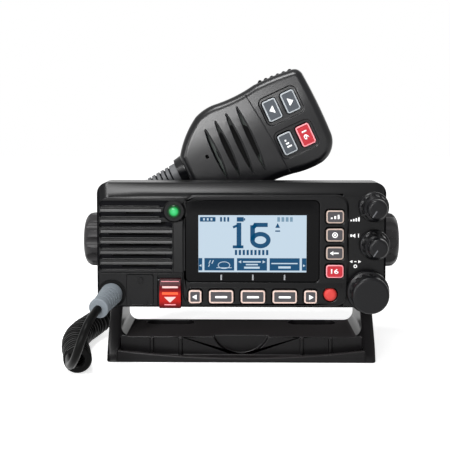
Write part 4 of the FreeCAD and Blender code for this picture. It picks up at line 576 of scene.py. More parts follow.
def soften(node, width_mm, material, cuts, reshape=None):
    """Stand a softly edged copy of a CAD piece in for it. Cuts are planes, as a point in mm and a normal."""
    piece = bpy.data.objects.new(f"{node}_moulded", frame["nodes"][node].data.copy())
    scene.collection.objects.link(piece)
    edit(piece)
    bpy.ops.mesh.select_all(action="SELECT")
    bpy.ops.mesh.customdata_custom_splitnormals_clear()
    bpy.ops.mesh.remove_doubles(threshold=WELD_MM * MM)
    before = area_of(piece)
    for place_mm, normal in cuts:
        cut(place_mm, normal)
        bpy.ops.mesh.mark_seam()
    bpy.ops.mesh.select_all(action="SELECT")
    bpy.ops.mesh.dissolve_limited(angle_limit=math.radians(FLAT_DEG), delimit={"NORMAL", "SEAM"})
    print(f"{node}: area kept {area_of(piece) / before:.4f}")
    if reshape:
        reshape()
    done()
    bevel = piece.modifiers.new("bevel", "BEVEL")
    bevel.width = width_mm * MM
    bevel.segments = 2
    bevel.limit_method = "ANGLE"
    bevel.angle_limit = math.radians(SHARP_DEG)
    bevel.use_clamp_overlap = False
    bevel.miter_outer = "MITER_ARC"
    bpy.ops.object.modifier_apply(modifier="bevel")
    dress(smooth(piece), material)
    return stand_in(piece, node)


# %% Cuts through the holes
# A flat face with holes can't be one clean polygon. So each shell is first cut along planes that run through
# its holes, and at the ends of the panel's brow.
MIC_PLACE_MM = Vector((-37.5, -32, 123.9))
MIC_TURN = Matrix.Rotation(math.radians(-25), 3, "Y")
BROW_END_MM, CORNER_MM = 63, 84
RIGHT, BACK, UP = (1, 0, 0), (0, 1, 0), (0, 0, 1)


def cuts_at(direction, *places_mm, start=Vector()):
    """Planes square to a direction, at these places along it."""
    return [(start + Vector(direction) * place, direction) for place in places_mm]


shell_cuts = {
    "bracket": cuts_at(RIGHT, -84, -80.5, -48.7, -49, 0, 48.7, 49, 80.5, 84) + cuts_at(BACK, -7),
    "front_panel": (cuts_at(RIGHT, -BROW_END_MM, 7.3, BROW_END_MM)
                    + cuts_at(UP, 48.5, 61.5, 74.4, 81, 87.5, 94, 100.6)),
    "display_bezel": cuts_at(RIGHT, 7.3) + cuts_at(UP, 48.5, 62.9, 74.1, 85.3, 96.5),
    "chassis": cuts_at(RIGHT, -83, -82, -50, 52, 83) + cuts_at(BACK, -7),
    "mic_front_shell": cuts_at(
        MIC_TURN @ Vector(UP), -26, -20, -13.9, -7, 0, 5, 10.2, 17, 24, start=MIC_PLACE_MM),
    "mic_rear_shell": cuts_at(MIC_TURN @ Vector(RIGHT), 17, 50, 84, start=MIC_PLACE_MM),
    "clamp_knob_left": cuts_at(BACK, -7), "clamp_knob_right": cuts_at(BACK, -7),
    "distress_cover": cuts_at(RIGHT, -43.9),
}
print("cuts:", {node: len(planes) for node, planes in shell_cuts.items()})

# %% The panel's brow
BROW_LOW_MM, BROW_TOP_MM, BROW_CUTS = Vector((0, -72, 107.9)), Vector((0, -66, 117)), 8
BROW_SWELL_MM, BROW_PEAK = 0.75, 0.35
ABOUT_OUTWARD, HAIR_MM = 0.85, 0.001


def swell(share):
    """How far the brow stands out at this share of its height: not at all at its two long edges."""
    run = BROW_PEAK if share < BROW_PEAK else 1 - BROW_PEAK
    return BROW_SWELL_MM * (1 - ((share - BROW_PEAK) / run) ** 2)


def round_brow():
    """Cut the sloping brow along its length and swell it, except for its ends, where it meets the corners."""
    slope = BROW_TOP_MM - BROW_LOW_MM
    outward = Vector(RIGHT).cross(slope).normalized()
    before = 0

    def on_brow(face):
        middle = face.calc_center_median() / MM
        leans = face.normal.dot(outward) > ABOUT_OUTWARD
        return leans and middle.z > BROW_LOW_MM.z and abs(middle.x) < CORNER_MM

    for step in range(1, BROW_CUTS):
        share = step / BROW_CUTS
        pick("faces", on_brow)
        bpy.ops.mesh.bisect(plane_co=(BROW_LOW_MM + slope * share) * MM, plane_no=slope)
        pick("verts", lambda corner: corner.select and abs(corner.co.x) < (BROW_END_MM + HAIR_MM) * MM)
        here = swell(before) * (1 - share) / (1 - before)
        bpy.ops.transform.translate(value=outward * (swell(share) - here) * MM)
        before = share


# %% The big shells
for node, width_mm, material in (
        ("bracket", 0.8, nylon_black), ("front_panel", 0.3, abs_black), ("display_bezel", 0.9, abs_satin),
        ("chassis", 0.5, powder_coat_black), ("mic_front_shell", 0.5, pc_abs_mic),
        ("mic_rear_shell", 0.5, pc_abs_mic), ("clamp_knob_left", 0.5, nylon_grey),
        ("clamp_knob_right", 0.5, nylon_grey)):
    reshape = round_brow if node == "front_panel" else None
    piece = soften(node, width_mm, material, shell_cuts[node], reshape)
    print(f"{piece.name}: {len(piece.data.polygons)} faces")

# %% Faces with painted light and painted shade
GROOVE_NEAR_MM, GROOVE_FAR_MM, GRILLE_RIGHT_MM, SIDE_WALL_MM = -71.6, -70.4, -41, 85
SQUARE_ON, SIDEWAYS = 0.9, 0.6


def paint(slot):
    """In edit mode, give the selected faces one of the piece's materials."""
    bpy.context.object.active_material_index = slot
    bpy.ops.object.material_slot_assign()


def dull(piece, finish, painted_light_finish, rule):
    """Give the faces that a rule is true for a second finish, which paints light on some pieces and shade on
    others.
    """
    dress(piece, finish, painted_light_finish)
    edit(piece)
    pick("faces", rule)
    paint(1)
    done()
    print(f"{piece.name}: {sum(face.material_index for face in piece.data.polygons)} faces etched")


def painted_shade_faces(face):
    """The floors of the louvre's grooves, and the panel's side walls, which get painted shade."""
    spot = face.calc_center_median() / MM
    in_groove = GROOVE_NEAR_MM < spot.y < GROOVE_FAR_MM and spot.x < GRILLE_RIGHT_MM
    side_wall = abs(face.normal.x) > SIDEWAYS and abs(spot.x) > SIDE_WALL_MM
    return (in_groove and face.normal.y < -SQUARE_ON) or side_wall


# The bracket's faces that look straight up get painted light: a lighter grey with no shine.
dull(bpy.data.objects["bracket_moulded"], nylon_black, nylon_painted_top_light, lambda face: face.normal.z > SQUARE_ON)
# The floors of the louvre's grooves and the panel's side walls get painted shade: a finish with no shine.
dull(bpy.data.objects["front_panel_moulded"], abs_black, abs_painted_shade, painted_shade_faces)
dress(frame["nodes"]["port_cover_screw"], abs_satin)

# %% A domed front
# The front of the microphone bulges a little, to fit a palm. A cage of five rows of points bends it.
DOME_MM, CAGE_MM = 3, Vector((130, 22, 76))
CAGE_MIDDLE_MM = Vector((48, CAGE_MM.y / 2, -2))


def dome(piece):
    cage = fresh(bpy.ops.object.add, type="LATTICE")
    cage.data.points_u, cage.data.points_v, cage.data.points_w = 2, 2, 5
    cage.data.interpolation_type_u = cage.data.interpolation_type_v = "KEY_LINEAR"
    for point in cage.data.points:
        if point.co.y < 0:
            point.co_deform.y = point.co.y + DOME_MM / CAGE_MM.y * (2 * point.co.z) ** 2
    middle = MIC_PLACE_MM + MIC_TURN @ CAGE_MIDDLE_MM
    cage.location, cage.rotation_euler, cage.scale = middle * MM, MIC_TURN.to_euler(), CAGE_MM * MM
    only(piece)
    bend = piece.modifiers.new("dome", "LATTICE")
    bend.object = cage
    bpy.ops.object.modifier_apply(modifier="dome")
    bpy.data.objects.remove(cage)
    return smooth(piece)


mic_front = dome(bpy.data.objects["mic_front_shell_moulded"])
print(f"{mic_front.name}: domed by {DOME_MM} mm")

# %% [markdown]
# ## Silicone keys
#
# The keys are one rubber mat behind the panel, with a cap standing in each opening. The mat is painted
# pale, then dark, and a laser burns the dark paint off where the border and the mark should show. So each
# cap starts as a block: its upright edges and its front rim are beveled, and its front is inset twice, once
# for the width of the border and once for the step down to the field.

# %% Key caps
KEY_RIM_MM, SOFT_DEG = 0.4, 40
FIELD_STEP_MM, FIELD_EDGE_MM = 0.25, 0.12
FLAT_ON, FRONT_OR_RIM = 0.99, 0.3


def block(name, low, high):
    """A box between two corners, in metres."""
    cube = fresh(bpy.ops.mesh.primitive_cube_add, size=1, location=(low + high) / 2, scale=high - low)
    cube.name = name
    return settle(cube)


def along_y(edge):
    return abs(edge.verts[0].co.y - edge.verts[1].co.y) > MM


def facing_front(face):
    return face.normal.y < -FLAT_ON


def key_cap(name, low, high, body, border, field, corner_mm=1.6, border_mm=1.0):
    """A silicone key with a painted border, and a field that is burnt a little lower."""
    key = block(name, low, high)
    dress(key, body, border, field)
    edit(key, "EDGE")
    pick("edges", along_y)
    bpy.ops.mesh.bevel(offset=corner_mm * MM, segments=4, affect="EDGES")
    bpy.ops.mesh.select_mode(type="FACE")
    pick("faces", facing_front)
    bpy.ops.mesh.bevel(offset=KEY_RIM_MM * MM, segments=2, affect="EDGES")
    pick("faces", lambda face: face.normal.y < -FRONT_OR_RIM)
    paint(1)
    pick("faces", facing_front)
    bpy.ops.mesh.inset(thickness=(border_mm - KEY_RIM_MM) * MM)
    paint(2)
    bpy.ops.mesh.inset(thickness=FIELD_EDGE_MM * MM, depth=-FIELD_STEP_MM * MM)
    done()
    return smooth(key, SOFT_DEG)


# %% [markdown]
# ## Printed marks
#
# Ink and laser marks are a few hundredths of a millimetre thick. Each mark here is a flat shape that faces
# the front, joined with its neighbours and given a little thickness by a Solidify modifier, so that it
# stands just clear of the surface that it is printed on. The marks are plain shapes and numbers.

# %% Flat shapes for marks
FACING_FRONT = math.radians(90)
INK_MM = 0.06
RING_SIDES = 28


def flat(piece, x, z, turn_deg, corner_mm=0):
    """Stand a flat shape up facing the front at x and z, in millimetres, turned clockwise."""
    piece.rotation_euler = (FACING_FRONT, math.radians(turn_deg), 0)
    piece.location = (x * MM, 0, z * MM)
    settle(piece)
    if corner_mm:
        edit(piece, "VERT")
        bpy.ops.mesh.select_all(action="SELECT")
        bpy.ops.mesh.bevel(offset=corner_mm * MM, segments=3, affect="VERTICES")
        done()
    return piece


def bar(x, z, width, height, turn_deg=0, corner_mm=0):
    plane = fresh(bpy.ops.mesh.primitive_plane_add, size=1)
    plane.scale = (width * MM, height * MM, 1)
    return flat(plane, x, z, turn_deg, corner_mm)


def triangle(x, z, width, height, turn_deg=0):
    """A triangle with slightly round corners that points up, or where it is turned to."""
    corners = fresh(bpy.ops.mesh.primitive_circle_add, vertices=3, radius=1, fill_type="NGON")
    corners.scale = (width * MM / math.sqrt(3), height * MM / 1.5, 1)
    return flat(corners, x, z, turn_deg, 0.06 * width)


def ring(x, z, width, height, line_mm):
    """An oval line of the given thickness."""
    disc = fresh(bpy.ops.mesh.primitive_circle_add, vertices=RING_SIDES, radius=0.5, fill_type="NGON")
    disc.scale = (width * MM, height * MM, 1)
    made = flat(disc, x, z, 0)
    edit(made)
    bpy.ops.mesh.select_all(action="SELECT")
    bpy.ops.mesh.inset(thickness=line_mm * MM)
    bpy.ops.mesh.delete(type="FACE")
    done()
    return made


def numeral(text, x, z, width, height):
    """A number that fills a box of the given size, with strokes made a little bolder than the font's."""
    glyph = fresh(bpy.ops.object.text_add)
    glyph.data.body = text
    glyph.data.offset = 0.02
    glyph.data.resolution_u = 5
    glyph = as_mesh(glyph)
    bpy.ops.object.origin_set(type="ORIGIN_GEOMETRY", center="BOUNDS")
    glyph.scale = (width * MM / glyph.dimensions.x, height * MM / glyph.dimensions.y, 1)
    return flat(glyph, x, z, 0)


# %% Marks from flat shapes
def prints(name, ink, depth_mm, shapes):
    """Join flat shapes into one print whose back lies at this depth, in millimetres along y."""
    only(*shapes)
    if len(shapes) > 1:
        bpy.ops.object.join()
    made = bpy.context.object
    made.name = name
    made.location.y = depth_mm * MM
    settle(made)
    solid = made.modifiers.new("thickness", "SOLIDIFY")
    solid.thickness = INK_MM * MM
    solid.offset = 1
    bpy.ops.object.modifier_apply(modifier="thickness")
    dress(made, ink)
    return made


def join(first, *others):
    only(first, *others)
    bpy.ops.object.join()
    return first


# %% Keys on the set
SOFT_KEYS = [f"soft_key_{number}" for number in (1, 2, 3)]
SIDE_KEYS = [f"side_key_{number}" for number in (1, 2, 3, 4)]
MARK_DROP_MM = 0.2
soft_finish = (silicone_black, paint_cream, silicone_grey)


def middle_mm(node):
    low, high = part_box(node)
    return (low + high) / 2 / MM


def marked_key(node, shapes, *finishes, **sizes):
    """A key on the set with its mark in its field."""
    low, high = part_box(node)
    key = key_cap(f"{node}_cap", Vector(low), Vector(high), *finishes, **sizes)
    mark = prints(f"{node}_mark", ink_white, low.y / MM + FIELD_STEP_MM, shapes)
    return stand_in(join(key, mark), node)


for node in SOFT_KEYS:
    x, _, z = middle_mm(node)
    marked_key(node, [bar(x, z - MARK_DROP_MM, 7.4, 1.3, 0, 0.5)], *soft_finish)
for node, turn in (("soft_key_left", -90), ("soft_key_right", 90)):
    x, _, z = middle_mm(node)
    key = marked_key(node, [triangle(x, z - MARK_DROP_MM, 3.2, 2.8, turn)], *soft_finish)
    print(f"{key.name}: {len(key.data.polygons)} faces")

# %% The keys beside the display
# From the top: a growing row of bars, a ring with a dot, a play sign, and the number of the calling channel.
GROWING_BARS_MM = ((-2.1, 1), (0, 1.8), (2.1, 2.6))
TALLEST_MM = 2.6
first, second, third, fourth = (middle_mm(node) for node in SIDE_KEYS)
marks = (
    [bar(first.x + shift, first.z - (TALLEST_MM - tall) / 2, 1.1, tall) for shift, tall in GROWING_BARS_MM],
    [ring(second.x, second.z, 3.4, 3.4, 0.55), bar(second.x, second.z, 1.1, 1.1)],
    [triangle(third.x - 1.7, third.z, 2.6, 2.2, -90), bar(third.x + 0.8, third.z, 3, 0.8)],
)
for node, shapes in zip(SIDE_KEYS, marks):
    marked_key(node, shapes, silicone_black, paint_tan, silicone_grey, border_mm=0.85, corner_mm=1.8)
marked_key("side_key_4", [numeral("16", fourth.x, fourth.z, 4.6, 3)], silicone_black, paint_rose,
           silicone_red, border_mm=0.7, corner_mm=1.8)

# %% The round key
ROUND_EDGE_MM = 2.2

low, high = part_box("round_key")
round_key = settle(fresh(
    bpy.ops.mesh.primitive_cylinder_add, vertices=40, radius=(high.x - low.x) / 2, depth=high.y - low.y,
    location=(low + high) / 2, rotation=(FACING_FRONT, 0, 0)))
round_key.name = "round_key_cap"
edit(round_key)
pick("faces", facing_front)
bpy.ops.mesh.bevel(offset=ROUND_EDGE_MM * MM, segments=6, affect="EDGES")
done()
dress(round_key, silicone_coral)
stand_in(smooth(round_key, SOFT_DEG), "round_key")

# %% [markdown]
# ## Window and lit display
#
# The window is one acrylic plate, printed black on its back except where the liquid crystal shows through.
# The plate is a block whose front is cut by four bisects along the edges of the clear part, and the face
# between them is set back, as the crystal lies behind the acrylic. Its segments are thin prints just in
# front of it.

# %% The window plate
SCREEN_LEFT_MM, SCREEN_RIGHT_MM, SCREEN_LOW_MM, SCREEN_TOP_MM = -26.4, 40.2, 61.8, 97.2
SCREEN_SET_BACK_MM, SCREEN_EDGE_MM = 0.35, 0.05
WINDOW_CORNER_MM, WINDOW_RIM_MM = 3, 0.4

low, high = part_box("display_glass")
window = block("display_window", Vector(low), Vector(high))
dress(window, acrylic_black, lcd_clear)
edit(window, "EDGE")
pick("edges", along_y)
bpy.ops.mesh.bevel(offset=WINDOW_CORNER_MM * MM, segments=6, affect="EDGES")
bpy.ops.mesh.select_mode(type="FACE")
pick("faces", facing_front)
bpy.ops.mesh.bevel(offset=WINDOW_RIM_MM * MM, segments=2, affect="EDGES")
screen_edges = cuts_at(RIGHT, SCREEN_LEFT_MM, SCREEN_RIGHT_MM) + cuts_at(UP, SCREEN_LOW_MM, SCREEN_TOP_MM)
for place_mm, normal in screen_edges:
    cut(place_mm, normal)


def over_screen(face):
    spot = face.calc_center_median() / MM
    return (facing_front(face) and SCREEN_LEFT_MM < spot.x < SCREEN_RIGHT_MM
            and SCREEN_LOW_MM < spot.z < SCREEN_TOP_MM)


pick("faces", over_screen)
bpy.ops.mesh.inset(thickness=SCREEN_EDGE_MM * MM, depth=-SCREEN_SET_BACK_MM * MM)
paint(1)
done()
stand_in(smooth(window), "display_glass")
window_front = low.y / MM
crystal_front = window_front + SCREEN_SET_BACK_MM
print(f"window front at {window_front:.2f} mm, crystal at {crystal_front:.2f} mm")

# %% Segments on the crystal
# A big channel number, a small sign with a meter under it, a row of heads above and a row of labels below.
HEAD_ROW_MM, HEAD_TALL_MM = 94.6, 2.8
LABEL_LOW_MM, LABEL_TOP_MM = 62.9, 70.6
LABELS_MM = ((-26.3, -24), (-22.7, -4.3), (-2.6, 15.9), (17.5, 36), (37.4, 40.1))
label_middle, label_tall = (LABEL_LOW_MM + LABEL_TOP_MM) / 2, LABEL_TOP_MM - LABEL_LOW_MM

digits = [
    bar(-1.4, 84.6, 2.9, 15.8), bar(-1.9, 77.6, 6.6, 1.8), bar(-3.6, 90.3, 3.2, 1.5, -24),
    ring(11.8, 81.8, 12.6, 10.2, 2.7), bar(7, 86.3, 2.9, 9.4), bar(12, 91.2, 8.6, 2.6),
    bar(8.1, 90.4, 2.6, 3, 45)]
small_marks = [triangle(22.4, 90.4, 3, 3), bar(22.4, 87.4, 3, 0.8)]
meter = [bar(-3.2 + 2.4 * step, 74.1, 1.4, 3.2) for step in range(9)]
labels = [bar((left + right) / 2, label_middle, right - left, label_tall) for left, right in LABELS_MM]
heads = [bar(-20.6, HEAD_ROW_MM, 9.6, HEAD_TALL_MM, 0, 0.4)]
heads += [bar(x, HEAD_ROW_MM, 1.2, HEAD_TALL_MM) for x in (-12.4, -10.2, -8)]
heads += [bar(-0.6, HEAD_ROW_MM, 4.2, HEAD_TALL_MM), bar(2, HEAD_ROW_MM, 0.8, HEAD_TALL_MM / 2)]
segments = digits + small_marks + meter + labels + heads
print(len(segments), "segments")
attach(prints("display_segments", lcd_dark, crystal_front, segments), "radio")

# %% Light and faint segments
# Signs in the dark labels and the first head, four segments that are off, and ticks under the screen.
icons = [
    ring(-10.6, 66.2, 7.6, 4.6, 0.4), bar(-10.6, 64.6, 9.4, 0.4), bar(-19.4, 68.2, 0.5, 2.4, 25),
    bar(-17.6, 68.2, 0.5, 2.4, 25), bar(-19.8, 66, 0.5, 1.6, 25),
    bar(6.6, 68.3, 11, 0.8), bar(6.6, 66.6, 7.4, 0.8), bar(6.6, 64.7, 9.6, 1.2),
    triangle(-0.6, 68.3, 1.8, 1.8, -90), triangle(13.8, 68.3, 1.8, 1.8, 90),
    bar(26.7, 67.3, 16.2, 0.7), bar(26.7, 64.9, 7.6, 1.3),
    triangle(-25, 66, 1.6, 1.4, -90), triangle(38.6, 66, 1.6, 1.4, 90)]
icons += [bar(x, HEAD_ROW_MM, 1.1, HEAD_TALL_MM / 2) for x in (-22.9, -20.6, -18.3)]
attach(prints("display_icons", lcd_clear, crystal_front - INK_MM, icons), "radio")
faint = [bar(23 + 2.6 * step, HEAD_ROW_MM, 1.7, HEAD_TALL_MM) for step in range(4)]
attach(prints("display_faint_segments", lcd_mid, crystal_front, faint), "radio")
ticks = [bar(x, 58.7, 0.9, 3.4, 0, 0.3) for x in (-12.3, 7.2, 26.7)]
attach(prints("window_ticks", ink_dim, window_front, ticks), "radio")
print(len(icons), "icons,", len(faint), "faint segments,", len(ticks), "ticks")

# %% [markdown]
# ## Knobs
#
# A control knob is moulded in one piece: a smooth skirt that hides the gap to the panel, a tapering grip
# with grooves for wet fingers, and a plain cap. The form is turned, so a ring of edges is drawn out step by
# step along the knob's outline, and every groove is a group of the grip's faces, inset and pushed in
# together.

# %% A turned form
def turned(name, outline, sides):
    """Draw a circle out along an outline of (radius, distance to the front) in millimetres, and close it."""
    made = settle(fresh(
        bpy.ops.mesh.primitive_circle_add, vertices=sides, radius=outline[0][0] * MM,
        location=(0, -outline[0][1] * MM, 0), rotation=(FACING_FRONT, 0, 0)))
    made.name = name
    edit(made, "EDGE")
    bpy.ops.mesh.select_all(action="SELECT")
    bpy.ops.mesh.edge_face_add()
    for (radius, depth), (next_radius, next_depth) in zip(outline, outline[1:]):
        bpy.ops.mesh.extrude_region_move(TRANSFORM_OT_translate={"value": (0, (depth - next_depth) * MM, 0)})
        share = next_radius / radius
        bpy.ops.transform.resize(value=(share, 1, share), center_override=(0, 0, 0))
    bpy.ops.mesh.select_all(action="DESELECT")
    bpy.ops.mesh.select_non_manifold()
    bpy.ops.mesh.edge_face_add()
    bpy.ops.mesh.select_all(action="SELECT")
    bpy.ops.mesh.normals_make_consistent(inside=False)
    done()
    return made


# %% Grooves round a grip
# A groove and the land beside it share six faces, and the groove has three of them.
FACES_PER_GROOVE, GROOVE_FACES, GROOVE_WALL_MM = 6, 3, 0.2


def groove(piece, near_mm, far_mm, count, depth_mm):
    """Push in groups of faces between two distances to the front."""
    step = math.tau / (count * FACES_PER_GROOVE)
    edit(piece)

    def in_groove(face):
        spot = face.calc_center_median() / MM
        turn = math.atan2(spot.z, spot.x) % math.tau
        return near_mm < -spot.y < far_mm and int(turn / step) % FACES_PER_GROOVE < GROOVE_FACES

    pick("faces", in_groove)
    bpy.ops.mesh.inset(thickness=GROOVE_WALL_MM * MM, depth=-depth_mm * MM)
    done()


def finish_knob(piece, node):
    """Move a knob to its spindle and let it stand in for the solid."""
    low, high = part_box(node)
    piece.location = ((low.x + high.x) / 2, high.y, (low.z + high.z) / 2)
    settle(piece)
    dress(piece, abs_knob)
    return stand_in(smooth(piece, SOFT_DEG), node)


# %% The two small knobs
SMALL_KNOB = [(8.7, 0), (9.3, 0.5), (9.3, 2.1), (8.9, 2.7), (8.1, 3.1), (7.4, 13.2), (6.2, 14.4), (6, 17),
              (5.8, 18), (5.3, 18.6), (4.6, 18.95), (4, 19), (1.5, 18.95)]
POINTER_TURN_DEG, POINTER_OUT_MM = 214, 3.4


def copy_of(piece, name, rise_mm=0):
    """A copy with a mesh of its own, and higher up if asked."""
    twin = piece.copy()
    twin.data = piece.data.copy()
    twin.name = name
    scene.collection.objects.link(twin)
    twin.location.z = rise_mm * MM
    return settle(twin)


small_knob = turned("squelch_knob_turned", SMALL_KNOB, 72)
groove(small_knob, 3.5, 13, 12, 0.9)
twin = copy_of(small_knob, "volume_knob_turned")
turn = math.radians(POINTER_TURN_DEG)
for knob, node in ((small_knob, "squelch_knob"), (twin, "volume_knob")):
    finish_knob(knob, node)
    middle = middle_mm(node)
    x, z = middle.x + POINTER_OUT_MM * math.sin(turn), middle.z + POINTER_OUT_MM * math.cos(turn)
    front_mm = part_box(node)[0].y / MM
    # The line marks the knob's pointer groove, and its light grey is a painted highlight in it.
    line = prints(f"{node}_pointer", pointer_painted_highlight, front_mm, [bar(x, z, 0.7, 4.6, POINTER_TURN_DEG, 0.2)])
    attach(line, body_of[node])

# %% The dial
DIAL_KNOB = [(12, 0), (13, 0.7), (13, 2.4), (12.6, 3), (11.4, 3.3), (11.2, 12), (11.3, 13.2), (11.1, 14),
             (10.6, 14.6), (9.9, 14.95), (9.3, 15), (3, 14.95)]
dial = turned("dial_knob_turned", DIAL_KNOB, 96)
groove(dial, 3.5, 11.8, 16, 1)
finish_knob(dial, "dial_knob")
print("knob faces:", len(small_knob.data.polygons), len(dial.data.polygons))

# %% [markdown]
# ## Louvre
#
# The loudspeaker looks out through a field of slats. Each slat's front leans back towards its top, so that
# water runs off and the front catches the light, and a thin rib with a rounded front runs just under each
# slit. A slat is a block with its upper front edge set back, a rib is a block with its front edges beveled,
# and one of each is copied up the field.

# %% Slats and ribs
LOUVRE_LOW_MM, LOUVRE_PITCH_MM, LOUVRE_ROWS = 64.6, 6.55, 7
LOUVRE_LEFT_MM, LOUVRE_RIGHT_MM, LAMP_EDGE_MM = -87.2, -42.4, -49.2
PANEL_FRONT_MM, SLAT_DEG = -72, 50
SLAT_TOP_MM, SLAT_LEAN_MM = LOUVRE_LOW_MM - 2.9, 1.25
RIB_LOW_MM, RIB_TOP_MM, RIB_ROUND_MM = LOUVRE_LOW_MM - 1.95, LOUVRE_LOW_MM - 0.95, 0.48
# The cover swings past the lowest slat and the shoulder's foot, so both stop above its sweep.
LOWEST_SLAT_MM, SHOULDER_FOOT_MM = 0.9, 61.4


def round_front(name, low_mm, high_mm, round_mm):
    """A block with its front edges rounded."""
    piece = block(name, Vector(low_mm) * MM, Vector(high_mm) * MM)
    edit(piece)
    pick("faces", facing_front)
    bpy.ops.mesh.bevel(offset=round_mm * MM, segments=4, affect="EDGES")
    done()
    return piece


def slanted(name, low_mm, high_mm, slope_mm, round_mm=0.25, segments=2, left=False):
    """A block with its upper front edge, or its left one, set back, so that its front leans."""
    low, high = Vector(low_mm) * MM, Vector(high_mm) * MM
    piece = block(name, low, high)

    def set_back(corner):
        on_side = corner.co.x < low.x + HAIR_MM * MM if left else corner.co.z > high.z - HAIR_MM * MM
        return on_side and corner.co.y < low.y + HAIR_MM * MM

    edit(piece, "EDGE")
    pick("edges", lambda edge: all(set_back(corner) for corner in edge.verts))
    bpy.ops.transform.translate(value=(0, slope_mm * MM, 0))
    bpy.ops.mesh.select_all(action="SELECT")
    bpy.ops.mesh.bevel(offset=round_mm * MM, segments=segments, affect="EDGES")
    done()
    return piece


# %% The field of the louvre
def row_of(right_mm, rows, tall_mm=2):
    """The slat and the rib of each of these rows."""
    slat = slanted("slat", (LOUVRE_LEFT_MM, PANEL_FRONT_MM - 1, SLAT_TOP_MM - tall_mm),
                   (right_mm, PANEL_FRONT_MM + 0.6, SLAT_TOP_MM), SLAT_LEAN_MM)
    rib = round_front("rib", (LOUVRE_LEFT_MM + 0.8, PANEL_FRONT_MM - 0.3, RIB_LOW_MM),
                      (right_mm - 1.2, PANEL_FRONT_MM + 0.9, RIB_TOP_MM), RIB_ROUND_MM)
    made = [copy_of(piece, "louvre", row * LOUVRE_PITCH_MM) for piece in (slat, rib) for row in rows]
    for piece in (slat, rib):
        bpy.data.objects.remove(piece)
    return made


slats = join(*row_of(LOUVRE_RIGHT_MM, [0], LOWEST_SLAT_MM), *row_of(LOUVRE_RIGHT_MM, range(1, 5)),
             *row_of(LAMP_EDGE_MM, range(5, LOUVRE_ROWS)))
slats.name = "louvre_slats"
dress(slats, abs_black)
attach(smooth(slats, SLAT_DEG), "radio")
print("louvre faces:", len(slats.data.polygons))

# %% The shoulder beside the display
SHOULDER_LOW_MM, SHOULDER_HIGH_MM = (-42, -74.4, SHOULDER_FOOT_MM), (-35.9, -71.8, 93.5)
shoulder = slanted("display_shoulder", SHOULDER_LOW_MM, SHOULDER_HIGH_MM, 2.1, 0.4, 3, left=True)
dress(shoulder, abs_satin)
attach(smooth(shoulder, SLAT_DEG), "radio")
print("shoulder faces:", len(shoulder.data.polygons))

# %% The sill under the display
SILL_LOW_MM, SILL_TOP_MM, SILL_MM = 52.5, 55.6, 1.5
sill = slanted("display_sill", (-31.5, -74.5 - SILL_MM, SILL_LOW_MM), (62, -74.2, SILL_TOP_MM), SILL_MM)
dress(sill, abs_satin)
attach(smooth(sill), "radio")
print("sill faces:", len(sill.data.polygons))

# %% [markdown]
# ## Distress cover and lamp
#
# The distress key hides under a hinged cover of clear red polycarbonate. Its red is painted to run with the
# height, as painted light and shade: dark at its foot, bright over the key, and dark again up at the hinge.
# The lamp's lens is a dome over a diode: bright in the middle, and dark green at its rim, where it is thick
# and turned away.

# %% Red cover
COVER_LOW_MM, COVER_TOP_MM = 39.4, 57.6

tree = polycarbonate_red.node_tree
places = add(tree, "ShaderNodeTexCoord", {})
split = add(tree, "ShaderNodeSeparateXYZ", {"Vector": places.outputs["Object"]})
share = add(tree, "ShaderNodeMapRange", {
    "Value": split.outputs["Z"], "From Min": COVER_LOW_MM * MM, "From Max": COVER_TOP_MM * MM})
# Painted light and shade: the red runs dark at the foot, bright over the key and dark again at the hinge.
fade(polycarbonate_red, "Base Color", share.outputs["Result"], [
    (0, "#33080a"), (0.1, "#5e0f11"), (0.25, "#9c1a17"), (0.48, "#a21b17"), (0.62, "#6a1015"),
    (0.78, "#3d0910"), (1, "#22060a")])
soften("distress_cover", 0.5, polycarbonate_red, shell_cuts["distress_cover"])

# %% Marks and a painted highlight on the cover
low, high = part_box("distress_cover")
x, front = (low.x + high.x) / 2 / MM, low.y / MM
for name, ink, shapes in (
        ("cover_triangle", paint_rose_light, [
            triangle(x, 45.4, 7.6, 3.6, 180), bar(x, 52.6, 9.8, 1.2, 0, 0.4)]),
        # A painted highlight: an orange band of light across the cover.
        ("cover_band", orange_painted_highlight, [bar(x, 48.7, 10, 1.6, 0, 0.4)]),
        ("cover_lines", paint_rose, [bar(x, 56.2, 11, 0.4, 0, 0.2), bar(x, 41.7, 7, 0.6, 0, 0.2)])):
    mark = prints(name, ink, front, shapes)
    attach(mark, body_of["distress_cover"])
    print(f"{name}: {len(shapes)} shapes")

# %% Lamp
# The front half of a ball, flattened.
DOME_SHARE = 0.4

low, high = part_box("indicator_lens")
radius = (high.x - low.x) / 2
lamp = settle(fresh(bpy.ops.mesh.primitive_uv_sphere_add, segments=32, ring_count=20, radius=radius,
                    rotation=(FACING_FRONT, 0, 0)))
lamp.name = "lamp_dome"
edit(lamp)
cut((0, 0, 0), BACK, use_fill=True, clear_outer=True)
bpy.ops.mesh.select_all(action="SELECT")
bpy.ops.transform.resize(value=(1, DOME_SHARE, 1), center_override=(0, 0, 0))
done()
lamp.location = ((low.x + high.x) / 2, low.y + DOME_SHARE * radius, (low.z + high.z) / 2)
settle(lamp)
dress(lamp, lens_green)
stand_in(smooth(lamp), "indicator_lens")
print(f"lamp {2 * radius / MM:.1f} mm across")

# %% [markdown]
# ## Keys and grille of the microphone
#
# The microphone leans, so its small pieces are modelled lying straight: x runs along it, z across it, and y
# is the depth behind its front. Each is then turned and moved to its place. Seen from the hand, up is along
# x, and so a mark is turned by 90 degrees to stand upright.

# %% Pieces on the microphone
MIC_KEY_WIDE_MM, MIC_KEY_TALL_MM, MIC_KEY_RISE_MM, MIC_KEY_DEEP_MM = 9.4, 14.2, 1.2, 4
UPPER_ROW_MM, LOWER_ROW_MM, LEFT_COLUMN_MM, RIGHT_COLUMN_MM = 81.4, 68.4, 10.2, -13.9
BARS_FOOT_MM = 67.2


def on_microphone(piece):
    piece.location = MIC_PLACE_MM * MM
    piece.rotation_euler = MIC_TURN.to_euler()
    return settle(piece)


